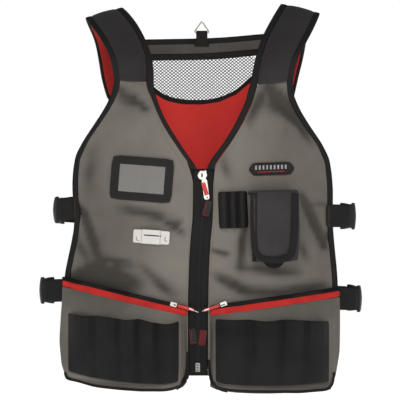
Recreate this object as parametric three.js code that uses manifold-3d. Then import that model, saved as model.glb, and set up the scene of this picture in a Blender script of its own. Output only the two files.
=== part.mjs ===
// Utility work vest, worn form, held at the shoulders.
// Millimetres, +Z up, +X to the wearer's left, the front faces -Y.
// The origin lies midway between the shoulder pads where they rest.

import * as THREE from 'three';
import { mergeVertices } from 'three/addons/utils/BufferGeometryUtils.js';
import Module from 'manifold-3d';

const wasm = await Module();
wasm.setup();

// Overall form
const bodyLength = 634;      // shoulder line down to the hem
const halfWidth = 236;       // centre line out to the pocket side
const frontDepth = 115;      // shoulder line forward to the centre front
const backDepth = 112;       // shoulder line back to the centre back
const frontSpread = 1.18;    // half-width shares at which the front curve meets the shoulder plane
const backSpread = 1.3;      // the same for the back

// Cloth, pads and bindings
const clothThickness = 2;
const liningThickness = 1.4;
const padThickness = 7;
const padCrown = 2.5;        // how far the middle of a pad swells
const bindingThickness = 3.2;
const padBindingInner = 10.5;
const padBindingOuter = 8.5;
const sideBinding = 7.5;
const neckBinding = { right: 5.5, left: 9 };
const hemBinding = 8;
const gap = 0.3;
const neckGap = 1.1;         // between the yoke's ends and the neck bindings
const edgeGap = 1.5;         // between a curved cloth edge and the binding beside it

// Zips
const zipBand = 30;          // both tapes and the chain
const chainWidth = 6.4;
const chainThickness = 3;
const tapeThickness = 1.6;
const zipTop = 0.4232;       // share of the body length
const zipBottom = 0.949;
const trimWidth = 10;
const pocketZipWidth = 5.4;

// Lower pockets
const pocketDepth = 27;      // how far a filled-out pocket stands off the panel
const pocketBase = 3.2;
const footSlope = 9;         // height over which a pocket turns under at its foot
const toolBulge = 16.5;       // how far a tool tube swells at its mouth
const toolFoot = 4;          // the same at its foot
const toolLift = 5.1;           // seams of the tool panel above the pocket's middle layer
const toolFootRise = 13.5;     // foot of the tool panel above the hem

// Chest fittings
const idFrame = { width: 103, height: 73, rim: 13.5, corner: 8, x: -0.4137, drop: 0.4468, spin: -4.5 };
const toolClip = { width: 62, height: 22, plate: 1.4, x: -0.3471, drop: 0.5982, spin: -3.5 };
const badge = { width: 75, height: 21.5, thickness: 2.4, x: 0.4944, drop: 0.4201, spin: 2 };
const elastic = { width: 46, height: 60, thickness: 2.4, x: 0.223, drop: 0.527, spin: 2, loops: 3, loopRise: 9 };
const pouch = { width: 72, height: 112, depth: 26, wall: 2.2, x: 0.487, drop: 0.5721, spin: 1.5 };
const flap = { width: 79, drop: 117, thickness: 2.6 };

// Side straps
const webbing = 38;
const webbingThickness = 1.8;
const buckle = { length: 56, height: 45, thickness: 10 };

// Main zip slider and pull
const slider = { width: 11, height: 15, depth: 5 };
const arch = { width: 1.8, inner: 1.6, outer: 3.6, reach: 1.8 };
const pull = { thickness: 1.6, head: 5.8, length: 46, width: 9, slot: 4.2, tilt: 8 };
const tag = { width: 12, length: 26, thickness: 1.6 };

// Hang loop at the back of the neck
const ring = { wire: 2.4, base: 27.6, height: 20 };
const loop = { width: 19, patchWidth: 25, patchHeight: 8, fold: 1.6, clearance: 0.45, foot: 23.5, rise: 10.5 };

// Front edges, a row for each level: drop is a share of the body length, the rest shares of the half width
const frontEdges = [
  { drop: 0.17, neckRight: 0.338, sideRight: 0.608, neckLeft: 0.362, sideLeft: 0.646 },
  { drop: 0.1945, neckRight: 0.338, sideRight: 0.610, neckLeft: 0.352, sideLeft: 0.643 },
  { drop: 0.2185, neckRight: 0.330, sideRight: 0.6231, neckLeft: 0.3345, sideLeft: 0.648 },
  { drop: 0.2424, neckRight: 0.3095, sideRight: 0.6471, neckLeft: 0.3186, sideLeft: 0.6647 },
  { drop: 0.2713, neckRight: 0.2812, sideRight: 0.6958, neckLeft: 0.2847, sideLeft: 0.7064 },
  { drop: 0.3134, neckRight: 0.2230, sideRight: 0.7723, neckLeft: 0.2282, sideLeft: 0.7794 },
  { drop: 0.3553, neckRight: 0.1508, sideRight: 0.8489, neckLeft: 0.1579, sideLeft: 0.8594 },
  { drop: 0.3867, neckRight: 0.0947, sideRight: 0.8910, neckLeft: 0.0947, sideLeft: 0.9050 },
  { drop: 0.4232, neckRight: 0.0286, sideRight: 0.9064, neckLeft: 0.0396, sideLeft: 0.9240 },
  { drop: 0.4807, neckRight: 0.0286, sideRight: 0.9120, neckLeft: 0.0396, sideLeft: 0.9366 },
  { drop: 0.5538, neckRight: 0.0286, sideRight: 0.8950, neckLeft: 0.0396, sideLeft: 0.9331 },
  { drop: 0.6217, neckRight: 0.0286, sideRight: 0.9226, neckLeft: 0.0396, sideLeft: 0.9471 },
  { drop: 0.7001, neckRight: 0.0286, sideRight: 0.9682, neckLeft: 0.0396, sideLeft: 0.9682 },
  { drop: 0.7784, neckRight: 0.0286, sideRight: 0.9787, neckLeft: 0.0396, sideLeft: 0.9752 },
  { drop: 0.8724, neckRight: 0.0286, sideRight: 0.9960, neckLeft: 0.0396, sideLeft: 0.9752 },
  { drop: 0.9351, neckRight: 0.0286, sideRight: 0.9822, neckLeft: 0.0396, sideLeft: 0.9682 },
  { drop: 0.9717, neckRight: 0.0286, sideRight: 0.9471, neckLeft: 0.0396, sideLeft: 0.9401 },
  { drop: 1.01, neckRight: 0.0286, sideRight: 0.915, neckLeft: 0.0396, sideLeft: 0.90 },
];

// The zip's centre line leans a little to the wearer's right on its way down
const zipLine = [
  { drop: 0.4, x: 0.014 },
  { drop: 0.48, x: 0.014 },
  { drop: 0.5538, x: 0.0105 },
  { drop: 0.6217, x: -0.007 },
  { drop: 0.7001, x: -0.0161 },
  { drop: 0.7784, x: -0.021 },
  { drop: 0.8724, x: -0.021 },
  { drop: 1, x: -0.0246 },
];

// Hem, a row for each place out from the centre: both columns are shares
const hemLine = {
  right: [
    { x: 0.06, drop: 0.953 }, { x: 0.085, drop: 0.965 }, { x: 0.112, drop: 0.9821 }, { x: 0.182, drop: 0.9952 },
    { x: 0.253, drop: 0.9991 }, { x: 0.428, drop: 0.9991 }, { x: 0.709, drop: 0.9899 }, { x: 0.849, drop: 0.9808 },
    { x: 0.93, drop: 0.973 },
  ],
  left: [
    { x: 0.0175, drop: 0.953 }, { x: 0.042, drop: 0.9743 }, { x: 0.063, drop: 0.985 }, { x: 0.133, drop: 0.9965 },
    { x: 0.203, drop: 1.0004 }, { x: 0.344, drop: 1.0043 }, { x: 0.554, drop: 1.0064 }, { x: 0.695, drop: 1.0056 },
    { x: 0.9, drop: 1.0017 },
  ],
};

// Depth of the front and back, a row for each level, as shares of frontDepth and backDepth
const frontProfile = [
  { drop: 0.12, depth: 0.84 },
  { drop: 0.19, depth: 0.92 },
  { drop: 0.27, depth: 0.97 },
  { drop: 0.42, depth: 1 },
  { drop: 0.6, depth: 0.99 },
  { drop: 0.78, depth: 1 },
  { drop: 1.02, depth: 1.04 },
];
const backProfile = [
  { drop: 0, depth: 0.62 },
  { drop: 0.04, depth: 0.85 },
  { drop: 0.1, depth: 0.89 },
  { drop: 0.155, depth: 0.93 },
  { drop: 0.21, depth: 0.97 },
  { drop: 0.3, depth: 1 },
  { drop: 0.6, depth: 0.96 },
  { drop: 1, depth: 1.02 },
];

// Dents and soft folds of the front cloth: place, half length and half width as shares of the half width
const folds = [
  { x: -0.46, drop: 0.262, reach: 0.16, width: 0.045, turn: -35, depth: 0.05 },
  { x: 0.41, drop: 0.285, reach: 0.10, width: 0.05, turn: 75, depth: 0.045 },
  { x: 0.60, drop: 0.265, reach: 0.11, width: 0.05, turn: 80, depth: 0.055 },
  { x: -0.80, drop: 0.615, reach: 0.20, width: 0.06, turn: -62, depth: 0.05 },
  { x: -0.34, drop: 0.545, reach: 0.20, width: 0.06, turn: 10, depth: 0.045 },
  { x: -0.17, drop: 0.60, reach: 0.12, width: 0.05, turn: -28, depth: 0.04 },
  { x: 0.79, drop: 0.565, reach: 0.17, width: 0.055, turn: -62, depth: 0.06 },
  { x: 0.22, drop: 0.635, reach: 0.12, width: 0.05, turn: -12, depth: 0.045 },
  { x: -0.70, drop: 0.695, reach: 0.26, width: 0.075, turn: -12, depth: 0.055 },
  { x: 0.30, drop: 0.725, reach: 0.24, width: 0.075, turn: 8, depth: 0.05 },
];

// Shoulder pads from the front seam over the shoulder to the back seam.
// y is a share of frontDepth, and a row without y lies on the front or back cloth.
const padRows = {
  right: [
    { face: 'front', innerX: 0.338, innerDrop: 0.1945, outerX: 0.610, outerDrop: 0.1866 },
    { y: -0.70, innerX: 0.3464, innerDrop: 0.1331, outerX: 0.6328, outerDrop: 0.1331 },
    { y: -0.50, innerX: 0.4052, innerDrop: 0.0728, outerX: 0.7110, outerDrop: 0.0728 },
    { y: -0.26, innerX: 0.4833, innerDrop: 0.0218, outerX: 0.7805, outerDrop: 0.0378 },
    { y: 0, innerX: 0.5699, innerDrop: -0.0140, outerX: 0.8296, outerDrop: 0.0134 },
    { y: 0.29, innerX: 0.560, innerDrop: 0.000, outerX: 0.8187, outerDrop: 0.0275 },
    { y: 0.52, innerX: 0.520, innerDrop: 0.035, outerX: 0.7771, outerDrop: 0.0649 },
    { face: 'back', innerX: 0.470, innerDrop: 0.085, outerX: 0.7493, outerDrop: 0.1121 },
    { face: 'back', innerX: 0.440, innerDrop: 0.140, outerX: 0.7241, outerDrop: 0.1715 },
    { face: 'back', innerX: 0.420, innerDrop: 0.200, outerX: 0.6830, outerDrop: 0.2262 },
  ],
  left: [
    { face: 'front', innerX: 0.352, innerDrop: 0.2023, outerX: 0.6435, outerDrop: 0.1892 },
    { y: -0.70, innerX: 0.3853, innerDrop: 0.1331, outerX: 0.6752, outerDrop: 0.1331 },
    { y: -0.50, innerX: 0.4372, innerDrop: 0.0728, outerX: 0.7607, outerDrop: 0.0728 },
    { y: -0.26, innerX: 0.5155, innerDrop: 0.0165, outerX: 0.8198, outerDrop: 0.0298 },
    { y: 0, innerX: 0.5815, innerDrop: -0.0240, outerX: 0.8527, outerDrop: 0.0015 },
    { y: 0.29, innerX: 0.575, innerDrop: -0.008, outerX: 0.8369, outerDrop: 0.0140 },
    { y: 0.52, innerX: 0.535, innerDrop: 0.030, outerX: 0.7735, outerDrop: 0.0595 },
    { face: 'back', innerX: 0.485, innerDrop: 0.080, outerX: 0.7463, outerDrop: 0.1121 },
    { face: 'back', innerX: 0.450, innerDrop: 0.140, outerX: 0.7094, outerDrop: 0.1680 },
    { face: 'back', innerX: 0.430, innerDrop: 0.200, outerX: 0.6790, outerDrop: 0.2220 },
  ],
};

// Back side edges below the pads, shares of the half width
const backEdges = [
  { drop: 0.19, side: 0.690 },
  { drop: 0.226, side: 0.681 },
  { drop: 0.27, side: 0.680 },
  { drop: 0.32, side: 0.710 },
  { drop: 0.38, side: 0.765 },
  { drop: 0.44, side: 0.810 },
  { drop: 0.52, side: 0.830 },
  { drop: 0.75, side: 0.845 },
  { drop: 1, side: 0.860 },
];
const backHem = 0.985;

// Levels across the back of the neck, a row for each place from the wearer's right to left
const yokeLines = [
  { x: -0.52, top: 0.0640, tape: 0.1040, net: 0.1190, netFoot: 0.1500 },
  { x: -0.44, top: 0.0625, tape: 0.1030, net: 0.1180, netFoot: 0.1690 },
  { x: -0.355, top: 0.0617, tape: 0.1022, net: 0.1172, netFoot: 0.1905 },
  { x: -0.23, top: 0.0604, tape: 0.1012, net: 0.1160, netFoot: 0.2167 },
  { x: 0, top: 0.0584, tape: 0.0997, net: 0.1148, netFoot: 0.2249 },
  { x: 0.155, top: 0.0560, tape: 0.0965, net: 0.1118, netFoot: 0.2153 },
  { x: 0.288, top: 0.0525, tape: 0.0925, net: 0.1075, netFoot: 0.1905 },
  { x: 0.370, top: 0.0500, tape: 0.0900, net: 0.1050, netFoot: 0.1603 },
  { x: 0.52, top: 0.0455, tape: 0.0860, net: 0.1010, netFoot: 0.1300 },
];
const yokeBinding = 7.6;
const netBinding = 9;
const netColumns = 16;
const netRows = 5;
const netBar = 0.38;         // share of a mesh pitch that is cord
const netThickness = 1.4;

// Pocket trim lines and edges, shares of the half width and the body length
const pocketLines = {
  right: { inner: 0.098, outer: 0.974, trimInner: 0.7880, trimOuter: 0.7150, gussetInner: 12, gussetOuter: 11 },
  left: { inner: 0.063, outer: 0.962, trimInner: 0.7872, trimOuter: 0.7430, gussetInner: 8, gussetOuter: 15 },
};

// Tool pocket panels: mouth heights across from the centre outwards, and the seams between tubes
const toolPockets = {
  right: {
    inner: 0.155, outer: 0.930,
    seams: [0, 0.19, 0.36, 0.53, 0.76, 1],
    mouth: [
      { at: 0, drop: 0.8155 }, { at: 0.08, drop: 0.822 }, { at: 0.2, drop: 0.8205 }, { at: 0.34, drop: 0.811 },
      { at: 0.5, drop: 0.8125 }, { at: 0.66, drop: 0.8045 }, { at: 0.84, drop: 0.8045 }, { at: 1, drop: 0.799 },
    ],
  },
  left: {
    inner: 0.102, outer: 0.895,
    seams: [0, 0.295, 0.567, 0.784, 1],
    mouth: [
      { at: 0, drop: 0.811 }, { at: 0.14, drop: 0.812 }, { at: 0.3, drop: 0.8125 }, { at: 0.45, drop: 0.8165 },
      { at: 0.64, drop: 0.8125 }, { at: 0.78, drop: 0.8165 }, { at: 0.9, drop: 0.8185 }, { at: 1, drop: 0.820 },
    ],
  },
};

// Side straps: level and outermost reach, shares of the body length and the half width
const sideStraps = [
  { name: 'upper_right', side: 'right', drop: 0.5225, outDrop: 0.5290, reach: 1.045, backDrop: 0.535 },
  { name: 'lower_right', side: 'right', drop: 0.7420, outDrop: 0.7440, reach: 1.145, backDrop: 0.750 },
  { name: 'upper_left', side: 'left', drop: 0.5433, outDrop: 0.5450, reach: 1.098, backDrop: 0.545, over: true },
  { name: 'lower_left', side: 'left', drop: 0.7640, outDrop: 0.7660, reach: 1.140, backDrop: 0.765 },
];

// Finishes
const finish = (color, roughness, metalness = 0) => ({ color, roughness, metalness });
const greyCloth = finish(0x6f6b62, 0.85);
const blackTape = finish(0x1d1c1b, 0.8);
const charcoalPad = finish(0x323032, 0.85);
const redCloth = finish(0xb0261f, 0.8);
const redTrim = finish(0xcd302d, 0.6);
const blackNet = finish(0x161616, 0.8);
const silver = finish(0xe8e6df, 0.3, 0.9);
const blackPlastic = finish(0x151515, 0.45);
const frameVinyl = finish(0x34302f, 0.6);
const clearWindow = finish(0x7d7a75, 0.25);

const vest = new THREE.Group();

// Interpolates a column of a table smoothly
function along(rows, key, column, at) {
  const last = rows.length - 1;
  if (at <= rows[0][key]) return rows[0][column];
  if (at >= rows[last][key]) return rows[last][column];
  let i = 0;
  while (at > rows[i + 1][key]) i += 1;
  const step = rows[i + 1][key] - rows[i][key];
  const slope = (k) => {
    const a = rows[Math.max(k - 1, 0)];
    const b = rows[Math.min(k + 1, last)];
    return (b[column] - a[column]) / (b[key] - a[key]);
  };
  const t = (at - rows[i][key]) / step;
  const rise = rows[i + 1][column] - rows[i][column];
  const startPull = slope(i) * step - rise;
  const endPull = rise - slope(i + 1) * step;
  return rows[i][column] + rise * t + t * (1 - t) * ((1 - t) * startPull + t * endPull);
}

const mix = THREE.MathUtils.lerp;
const sideSign = (side) => (side === 'right' ? -1 : 1);
const heightAt = (drop) => -drop * bodyLength;
const dropAt = (z) => -z / bodyLength;

// Ramps from 0 to 1 over a width at both ends of a stretch
function ramp(distance, width) {
  const t = THREE.MathUtils.clamp(distance / width, 0, 1);
  return t * t * (3 - 2 * t);
}

// Depth of the folds at a place on the front
function foldAt(x, z) {
  let sum = 0;
  for (const fold of folds) {
    const turn = THREE.MathUtils.degToRad(fold.turn);
    const dx = (x - fold.x * halfWidth) / halfWidth;
    const dz = (z - heightAt(fold.drop)) / halfWidth;
    const lengthwise = dx * Math.cos(turn) + dz * Math.sin(turn);
    const crosswise = dz * Math.cos(turn) - dx * Math.sin(turn);
    sum += fold.depth * Math.exp(-((lengthwise / fold.reach) ** 2) - (crosswise / fold.width) ** 2);
  }
  return sum * frontDepth;
}

// The front's middle surface as a depth over x and z
function frontY(x, z) {
  const reach = frontDepth * along(frontProfile, 'drop', 'depth', dropAt(z));
  return -reach * (1 - (x / (frontSpread * halfWidth)) ** 2) + foldAt(x, z);
}

function backY(x, z) {
  const reach = backDepth * along(backProfile, 'drop', 'depth', dropAt(z));
  return reach * (1 - (x / (backSpread * halfWidth)) ** 2);
}

// The way out of the front at a place, and a point lifted off it
function frontNormal(x, z) {
  const step = 2;
  const slopeX = (frontY(x + step, z) - frontY(x - step, z)) / (2 * step);
  const slopeZ = (frontY(x, z + step) - frontY(x, z - step)) / (2 * step);
  return new THREE.Vector3(slopeX, -1, slopeZ).normalize();
}

function onFront(x, z, lift = 0) {
  return new THREE.Vector3(x, frontY(x, z), z).addScaledVector(frontNormal(x, z), lift);
}

function onBack(x, z, lift = 0) {
  const step = 2;
  const slopeX = (backY(x + step, z) - backY(x - step, z)) / (2 * step);
  const slopeZ = (backY(x, z + step) - backY(x, z - step)) / (2 * step);
  const out = new THREE.Vector3(-slopeX, 1, -slopeZ).normalize();
  return new THREE.Vector3(x, backY(x, z), z).addScaledVector(out, lift);
}

function addMesh(name, geometry, look) {
  geometry.computeVertexNormals();
  const mesh = new THREE.Mesh(geometry, new THREE.MeshStandardMaterial(look));
  mesh.name = name;
  vest.add(mesh);
  return mesh;
}

// A closed sheet over a grid: surface(u, v) is its middle, and keep drops cells to leave holes
function sheet(surface, across, down, thickness, keep = () => true) {
  const probe = 1e-3;
  const thick = typeof thickness === 'number' ? () => thickness : thickness;
  const outer = [];
  const inner = [];
  for (let j = 0; j <= down; j += 1) {
    for (let i = 0; i <= across; i += 1) {
      const u = i / across;
      const v = j / down;
      const here = surface(u, v);
      const alongU = surface(Math.min(u + probe, 1), v).sub(surface(Math.max(u - probe, 0), v));
      const alongV = surface(u, Math.min(v + probe, 1)).sub(surface(u, Math.max(v - probe, 0)));
      const out = alongU.cross(alongV).normalize().multiplyScalar(thick(u, v) / 2);
      outer.push(here.clone().add(out));
      inner.push(here.clone().sub(out));
    }
  }
  const points = [...outer, ...inner];
  const half = outer.length;
  const index = [];
  const at = (i, j) => j * (across + 1) + i;
  const kept = (i, j) => i >= 0 && j >= 0 && i < across && j < down && keep(i, j);
  const wall = (a, b) => index.push(a, a + half, b + half, a, b + half, b);
  for (let j = 0; j < down; j += 1) {
    for (let i = 0; i < across; i += 1) {
      if (!kept(i, j)) continue;
      const [a, b, c, d] = [at(i, j), at(i + 1, j), at(i + 1, j + 1), at(i, j + 1)];
      index.push(a, b, c, a, c, d);
      index.push(c + half, b + half, a + half, d + half, c + half, a + half);
      if (!kept(i, j - 1)) wall(a, b);
      if (!kept(i + 1, j)) wall(b, c);
      if (!kept(i, j + 1)) wall(c, d);
      if (!kept(i - 1, j)) wall(d, a);
    }
  }
  const geometry = new THREE.BufferGeometry();
  geometry.setAttribute('position', new THREE.Float32BufferAttribute(points.flatMap((p) => p.toArray()), 3));
  geometry.setIndex(index);
  return geometry;
}

// A flat strip between two edges that run side by side
function strip(edgeA, edgeB, steps, thickness) {
  return sheet((u, v) => edgeA(v).lerp(edgeB(v), u), 1, steps, thickness);
}

// Joins closed geometries into one solid
function join(geometries) {
  const solids = geometries.map((geometry) => {
    const bare = geometry.clone();
    bare.deleteAttribute('normal');
    bare.deleteAttribute('uv');
    const merged = mergeVertices(bare, 1e-4);
    return new wasm.Manifold(new wasm.Mesh({
      numProp: 3,
      vertProperties: new Float32Array(merged.attributes.position.array),
      triVerts: new Uint32Array(merged.index.array),
    }));
  });
  let whole = solids[0];
  for (const solid of solids.slice(1)) whole = whole.add(solid);
  const mesh = whole.getMesh();
  const geometry = new THREE.BufferGeometry();
  geometry.setAttribute('position', new THREE.Float32BufferAttribute(mesh.vertProperties, 3));
  geometry.setIndex(Array.from(mesh.triVerts));
  return geometry;
}

// A rectangle with round corners, centred
function roundedShape(width, height, corner) {
  const shape = new THREE.Shape();
  const [w, h] = [width / 2, height / 2];
  shape.moveTo(-w + corner, -h);
  shape.lineTo(w - corner, -h);
  shape.absarc(w - corner, -h + corner, corner, -Math.PI / 2, 0);
  shape.absarc(w - corner, h - corner, corner, 0, Math.PI / 2);
  shape.absarc(-w + corner, h - corner, corner, Math.PI / 2, Math.PI);
  shape.absarc(-w + corner, -h + corner, corner, Math.PI, Math.PI * 1.5);
  return shape;
}

// Extrudes a shape drawn as it is seen from the front; depth runs forward from the seat
function slab(shape, depth, from = 0, curveSegments = 2) {
  const geometry = new THREE.ExtrudeGeometry(shape, { depth, bevelEnabled: false, curveSegments });
  geometry.translate(0, 0, from);
  return geometry.rotateX(Math.PI / 2);
}

// Places a mesh on the front cloth, turned with it and spun in its own plane
function seat(mesh, xShare, drop, lift, spin) {
  const x = xShare * halfWidth;
  const z = heightAt(drop);
  const out = frontNormal(x, z);
  const up = new THREE.Vector3(0, 0, 1).addScaledVector(out, -out.z).normalize();
  const across = new THREE.Vector3().crossVectors(up, out);
  const turn = new THREE.Matrix4().makeBasis(across, out.clone().negate(), up);
  mesh.quaternion.setFromRotationMatrix(turn);
  mesh.rotateY(THREE.MathUtils.degToRad(-spin));
  mesh.position.copy(onFront(x, z, lift));
  return mesh;
}

// A patch of cloth that lies on the front, given in its own width and height
function frontPatch(spec, lift) {
  const turn = THREE.MathUtils.degToRad(spec.spin);
  return (right, up) => {
    const x = spec.x * halfWidth + right * Math.cos(turn) - up * Math.sin(turn);
    const z = heightAt(spec.drop) + right * Math.sin(turn) + up * Math.cos(turn);
    return onFront(x, z, typeof lift === 'function' ? lift(right, up) : lift);
  };
}

// Edges of the garment

function frontEdge(side, which, drop) {
  return along(frontEdges, 'drop', which + (side === 'right' ? 'Right' : 'Left'), drop) * halfWidth;
}

// How wide the black edge is at a level of the neckline
function neckWidth(side, drop) {
  const seam = padRows[side][0].innerDrop;
  return mix(padBindingInner, neckBinding[side], ramp(drop - seam, 0.05));
}

// The grey panel's inner edge: along the neckline, then along the zip
function panelInner(side, drop) {
  const sign = sideSign(side);
  const zip = sign * along(zipLine, 'drop', 'x', drop) * halfWidth + zipBand / 2;
  if (drop >= zipTop) return zip;
  return Math.max(frontEdge(side, 'neck', drop) + neckWidth(side, drop), zip);
}

function sideWidth(side, drop) {
  return mix(padBindingOuter, sideBinding, ramp(drop - padRows[side][0].outerDrop, 0.08));
}

function panelOuter(side, drop) {
  return frontEdge(side, 'side', drop) - sideWidth(side, drop);
}

function hemDrop(side, distance) {
  return along(hemLine[side], 'x', 'drop', distance / halfWidth);
}

// A point of a front panel: u from the zip outwards, v from the pad seam down to the hem
function panelPoint(side, u, v, inset = 0) {
  const first = padRows[side][0];
  const seam = mix(first.innerDrop, first.outerDrop, u);
  const reach = (drop) => mix(panelInner(side, drop) + inset, panelOuter(side, drop) - 2 * inset, u);
  const foot = hemDrop(side, reach(hemDrop(side, reach(0.95)))) - (hemBinding + 3 * inset) / bodyLength;
  const drop = mix(seam + (inset + gap) / bodyLength, foot, 1 - (1 - v) ** 1.1);
  return onFront(sideSign(side) * reach(drop), heightAt(drop));
}

function padPoint(side, row, edge) {
  const spec = padRows[side][row];
  const x = sideSign(side) * spec[edge + 'X'] * halfWidth;
  const z = heightAt(spec[edge + 'Drop']);
  if (spec.face === 'front') return new THREE.Vector3(x, frontY(x, z), z);
  if (spec.face === 'back') return new THREE.Vector3(x, backY(x, z), z);
  return new THREE.Vector3(x, spec.y * frontDepth, z);
}

function padEdge(side, edge) {
  return new THREE.CatmullRomCurve3(padRows[side].map((_, row) => padPoint(side, row, edge)));
}

const padCurves = {
  right: { inner: padEdge('right', 'inner'), outer: padEdge('right', 'outer') },
  left: { inner: padEdge('left', 'inner'), outer: padEdge('left', 'outer') },
};

// A point across a pad, a given distance in from its inner or outer edge
function padAcross(side, v, fromInner, fromOuter, u) {
  const inner = padCurves[side].inner.getPoint(v);
  const outer = padCurves[side].outer.getPoint(v);
  const width = inner.distanceTo(outer);
  return inner.lerp(outer, mix(fromInner / width, 1 - fromOuter / width, u));
}

// The way out of a pad's surface
function padNormal(side, v) {
  const probe = 5e-3;
  const low = Math.max(v - probe, 0);
  const high = Math.min(v + probe, 1);
  const lengthwise = padAcross(side, high, 0, 0, 0.5).sub(padAcross(side, low, 0, 0, 0.5));
  const crosswise = padAcross(side, v, 0, 0, 1).sub(padAcross(side, v, 0, 0, 0));
  return lengthwise.cross(crosswise).normalize().multiplyScalar(-sideSign(side));
}

// Front panels, pads and their bindings
for (const side of ['right', 'left']) {
  const sign = sideSign(side);
  addMesh(`front_panel_${side}`, sheet((u, v) => panelPoint(side, u, v, edgeGap), 8, 16, clothThickness), greyCloth);

  const padSurface = (u, v) => {
    const swell = padCrown * Math.sin(Math.PI * u) * Math.min(1, 8 * v, 8 * (1 - v));
    return padAcross(side, v, padBindingInner + edgeGap, padBindingOuter + edgeGap, u)
      .addScaledVector(padNormal(side, v), swell);
  };
  const padThick = (u) => mix(bindingThickness, padThickness, Math.sin(Math.PI * u));
  addMesh(`shoulder_pad_${side}`, sheet(padSurface, 4, 16, padThick), charcoalPad);

  // The neckline's black edge, from the back seam over the shoulder and down the V to the zip
  const padSteps = 16;
  const neckSteps = 12;
  const seamV = padSteps / (padSteps + neckSteps);
  const neckTop = padRows[side][0].innerDrop;
  const neckEdge = (distance) => (v) => {
    if (v < seamV) return padAcross(side, 1 - v / seamV, distance(neckTop), 0, 0);
    const drop = mix(neckTop, zipTop - 0.002, (v - seamV) / (1 - seamV));
    return onFront(sign * (frontEdge(side, 'neck', drop) + distance(drop)), heightAt(drop));
  };
  addMesh(`neck_binding_${side}`, strip(neckEdge(() => 0), neckEdge((drop) => neckWidth(side, drop)),
    padSteps + neckSteps, bindingThickness), blackTape);

  // The black edge of the armhole, side and hem, in one length from the back seam to the zip's foot
  const armTop = padRows[side][0].outerDrop;
  const sideSteps = 20;
  const hemSteps = 8;
  const allSteps = padSteps + sideSteps + hemSteps;
  const armV = padSteps / allSteps;
  const hemV = (padSteps + sideSteps) / allSteps;
  const cornerDrop = hemDrop(side, frontEdge(side, 'side', 0.97));
  const sideEdge = (distance, rise) => (v) => {
    if (v < armV) return padAcross(side, 1 - v / armV, 0, distance(armTop), 1);
    if (v < hemV) {
      const drop = mix(armTop, cornerDrop - rise / bodyLength, (v - armV) / (hemV - armV));
      return onFront(sign * (frontEdge(side, 'side', drop) - distance(drop)), heightAt(drop));
    }
    const start = frontEdge(side, 'side', cornerDrop) - distance(cornerDrop);
    const across = mix(start, panelInner(side, 0.95) + gap, (v - hemV) / (1 - hemV));
    return onFront(sign * across, heightAt(hemDrop(side, across)) + rise);
  };
  addMesh(`side_binding_${side}`, strip(sideEdge(() => 0, 0), sideEdge((drop) => sideWidth(side, drop),
    hemBinding - gap), allSteps, bindingThickness), blackTape);
}

// Inside of the back straps
for (const side of ['right', 'left']) {
  const inside = -(padThickness / 2 + liningThickness / 2 + gap);
  const surface = (u, v) => {
    const place = mix(0.42, 0.985, v);
    return padAcross(side, place, 2, 3.5, u).addScaledVector(padNormal(side, place), inside);
  };
  addMesh(`strap_lining_${side}`, sheet(surface, 2, 9, liningThickness), redCloth);
}

// Back panel and lining

// Level of the panel's top: under the net's foot, and at the pad's back seam beyond it
function backTop(x) {
  const share = x / halfWidth;
  const rows = padRows[x < 0 ? 'right' : 'left'];
  const last = rows[rows.length - 1];
  const netEnd = last.innerX - 4 * edgeGap / halfWidth;
  const t = (Math.abs(share) - netEnd) / (last.outerX - netEnd);
  if (t < 0) return along(yokeLines, 'x', 'netFoot', share) + (netBinding + edgeGap + 0.5) / bodyLength;
  return mix(last.innerDrop, last.outerDrop, Math.min(t, 1)) + edgeGap / bodyLength;
}

function backEdge(drop) {
  return along(backEdges, 'drop', 'side', drop) * halfWidth;
}

// Places across the back, from edge to edge, with two close together at each end of the net
const backPlaces = [-1, -0.83, -0.66, -0.59, -0.4, -0.2, 0, 0.2, 0.4, 0.59, 0.66, 0.83, 1];

function backPoint(u, v, edge, lift) {
  const at = u * (backPlaces.length - 1);
  const i = Math.min(Math.floor(at + 1e-9), backPlaces.length - 2);
  const place = mix(backPlaces[i], backPlaces[i + 1], at - i);
  const top = backTop(place * (backEdge(0.23) - edge));
  const drop = mix(top, backHem - (hemBinding + edgeGap) / bodyLength, v ** 1.3);
  return onBack(place * (backEdge(drop) - edge), heightAt(drop), lift);
}

addMesh('back_panel', sheet((u, v) => backPoint(u, v, sideBinding + edgeGap, 0), 12, 8, clothThickness), greyCloth);
const liningLift = -(clothThickness + liningThickness) / 2 - gap;
addMesh('back_lining', sheet((u, v) => backPoint(u, v, sideBinding + edgeGap, liningLift), 12, 8, liningThickness),
  redCloth);

// The back's black edge: down one side, along the hem and up the other
const backSideSteps = 14;
const backHemSteps = 12;
const backSteps = 2 * backSideSteps + backHemSteps;
const backCorner = backSideSteps / backSteps;
const backOutline = (distance) => (v) => {
  const sideWay = (t, sign) => {
    const drop = mix(0.232, backHem - distance / bodyLength, t);
    return onBack(sign * (backEdge(drop) - distance), heightAt(drop));
  };
  if (v < backCorner) return sideWay(v / backCorner, -1);
  if (v > 1 - backCorner) return sideWay((1 - v) / backCorner, 1);
  const across = (v - backCorner) / (1 - 2 * backCorner);
  const drop = backHem - distance / bodyLength;
  return onBack(mix(-1, 1, across) * (backEdge(drop) - distance), heightAt(drop));
};
addMesh('back_binding', strip(backOutline(0), backOutline(sideBinding), backSteps, bindingThickness), blackTape);

// Yoke and net between the straps

function neckBackEdge(side, drop) {
  const rows = padRows[side].slice(6);
  return sideSign(side) * (along(rows, 'innerDrop', 'innerX', drop) * halfWidth - neckGap);
}

// A point between two level lines across the neck back: u from the wearer's right to left
function yokePoint(u, column, fall, lift) {
  const roughX = mix(-0.46, 0.46, u);
  const level = along(yokeLines, 'x', column, roughX) + fall / bodyLength;
  const x = mix(neckBackEdge('right', level), neckBackEdge('left', level), u);
  const drop = along(yokeLines, 'x', column, x / halfWidth) + fall / bodyLength;
  return onBack(x, heightAt(drop), lift);
}

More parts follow.
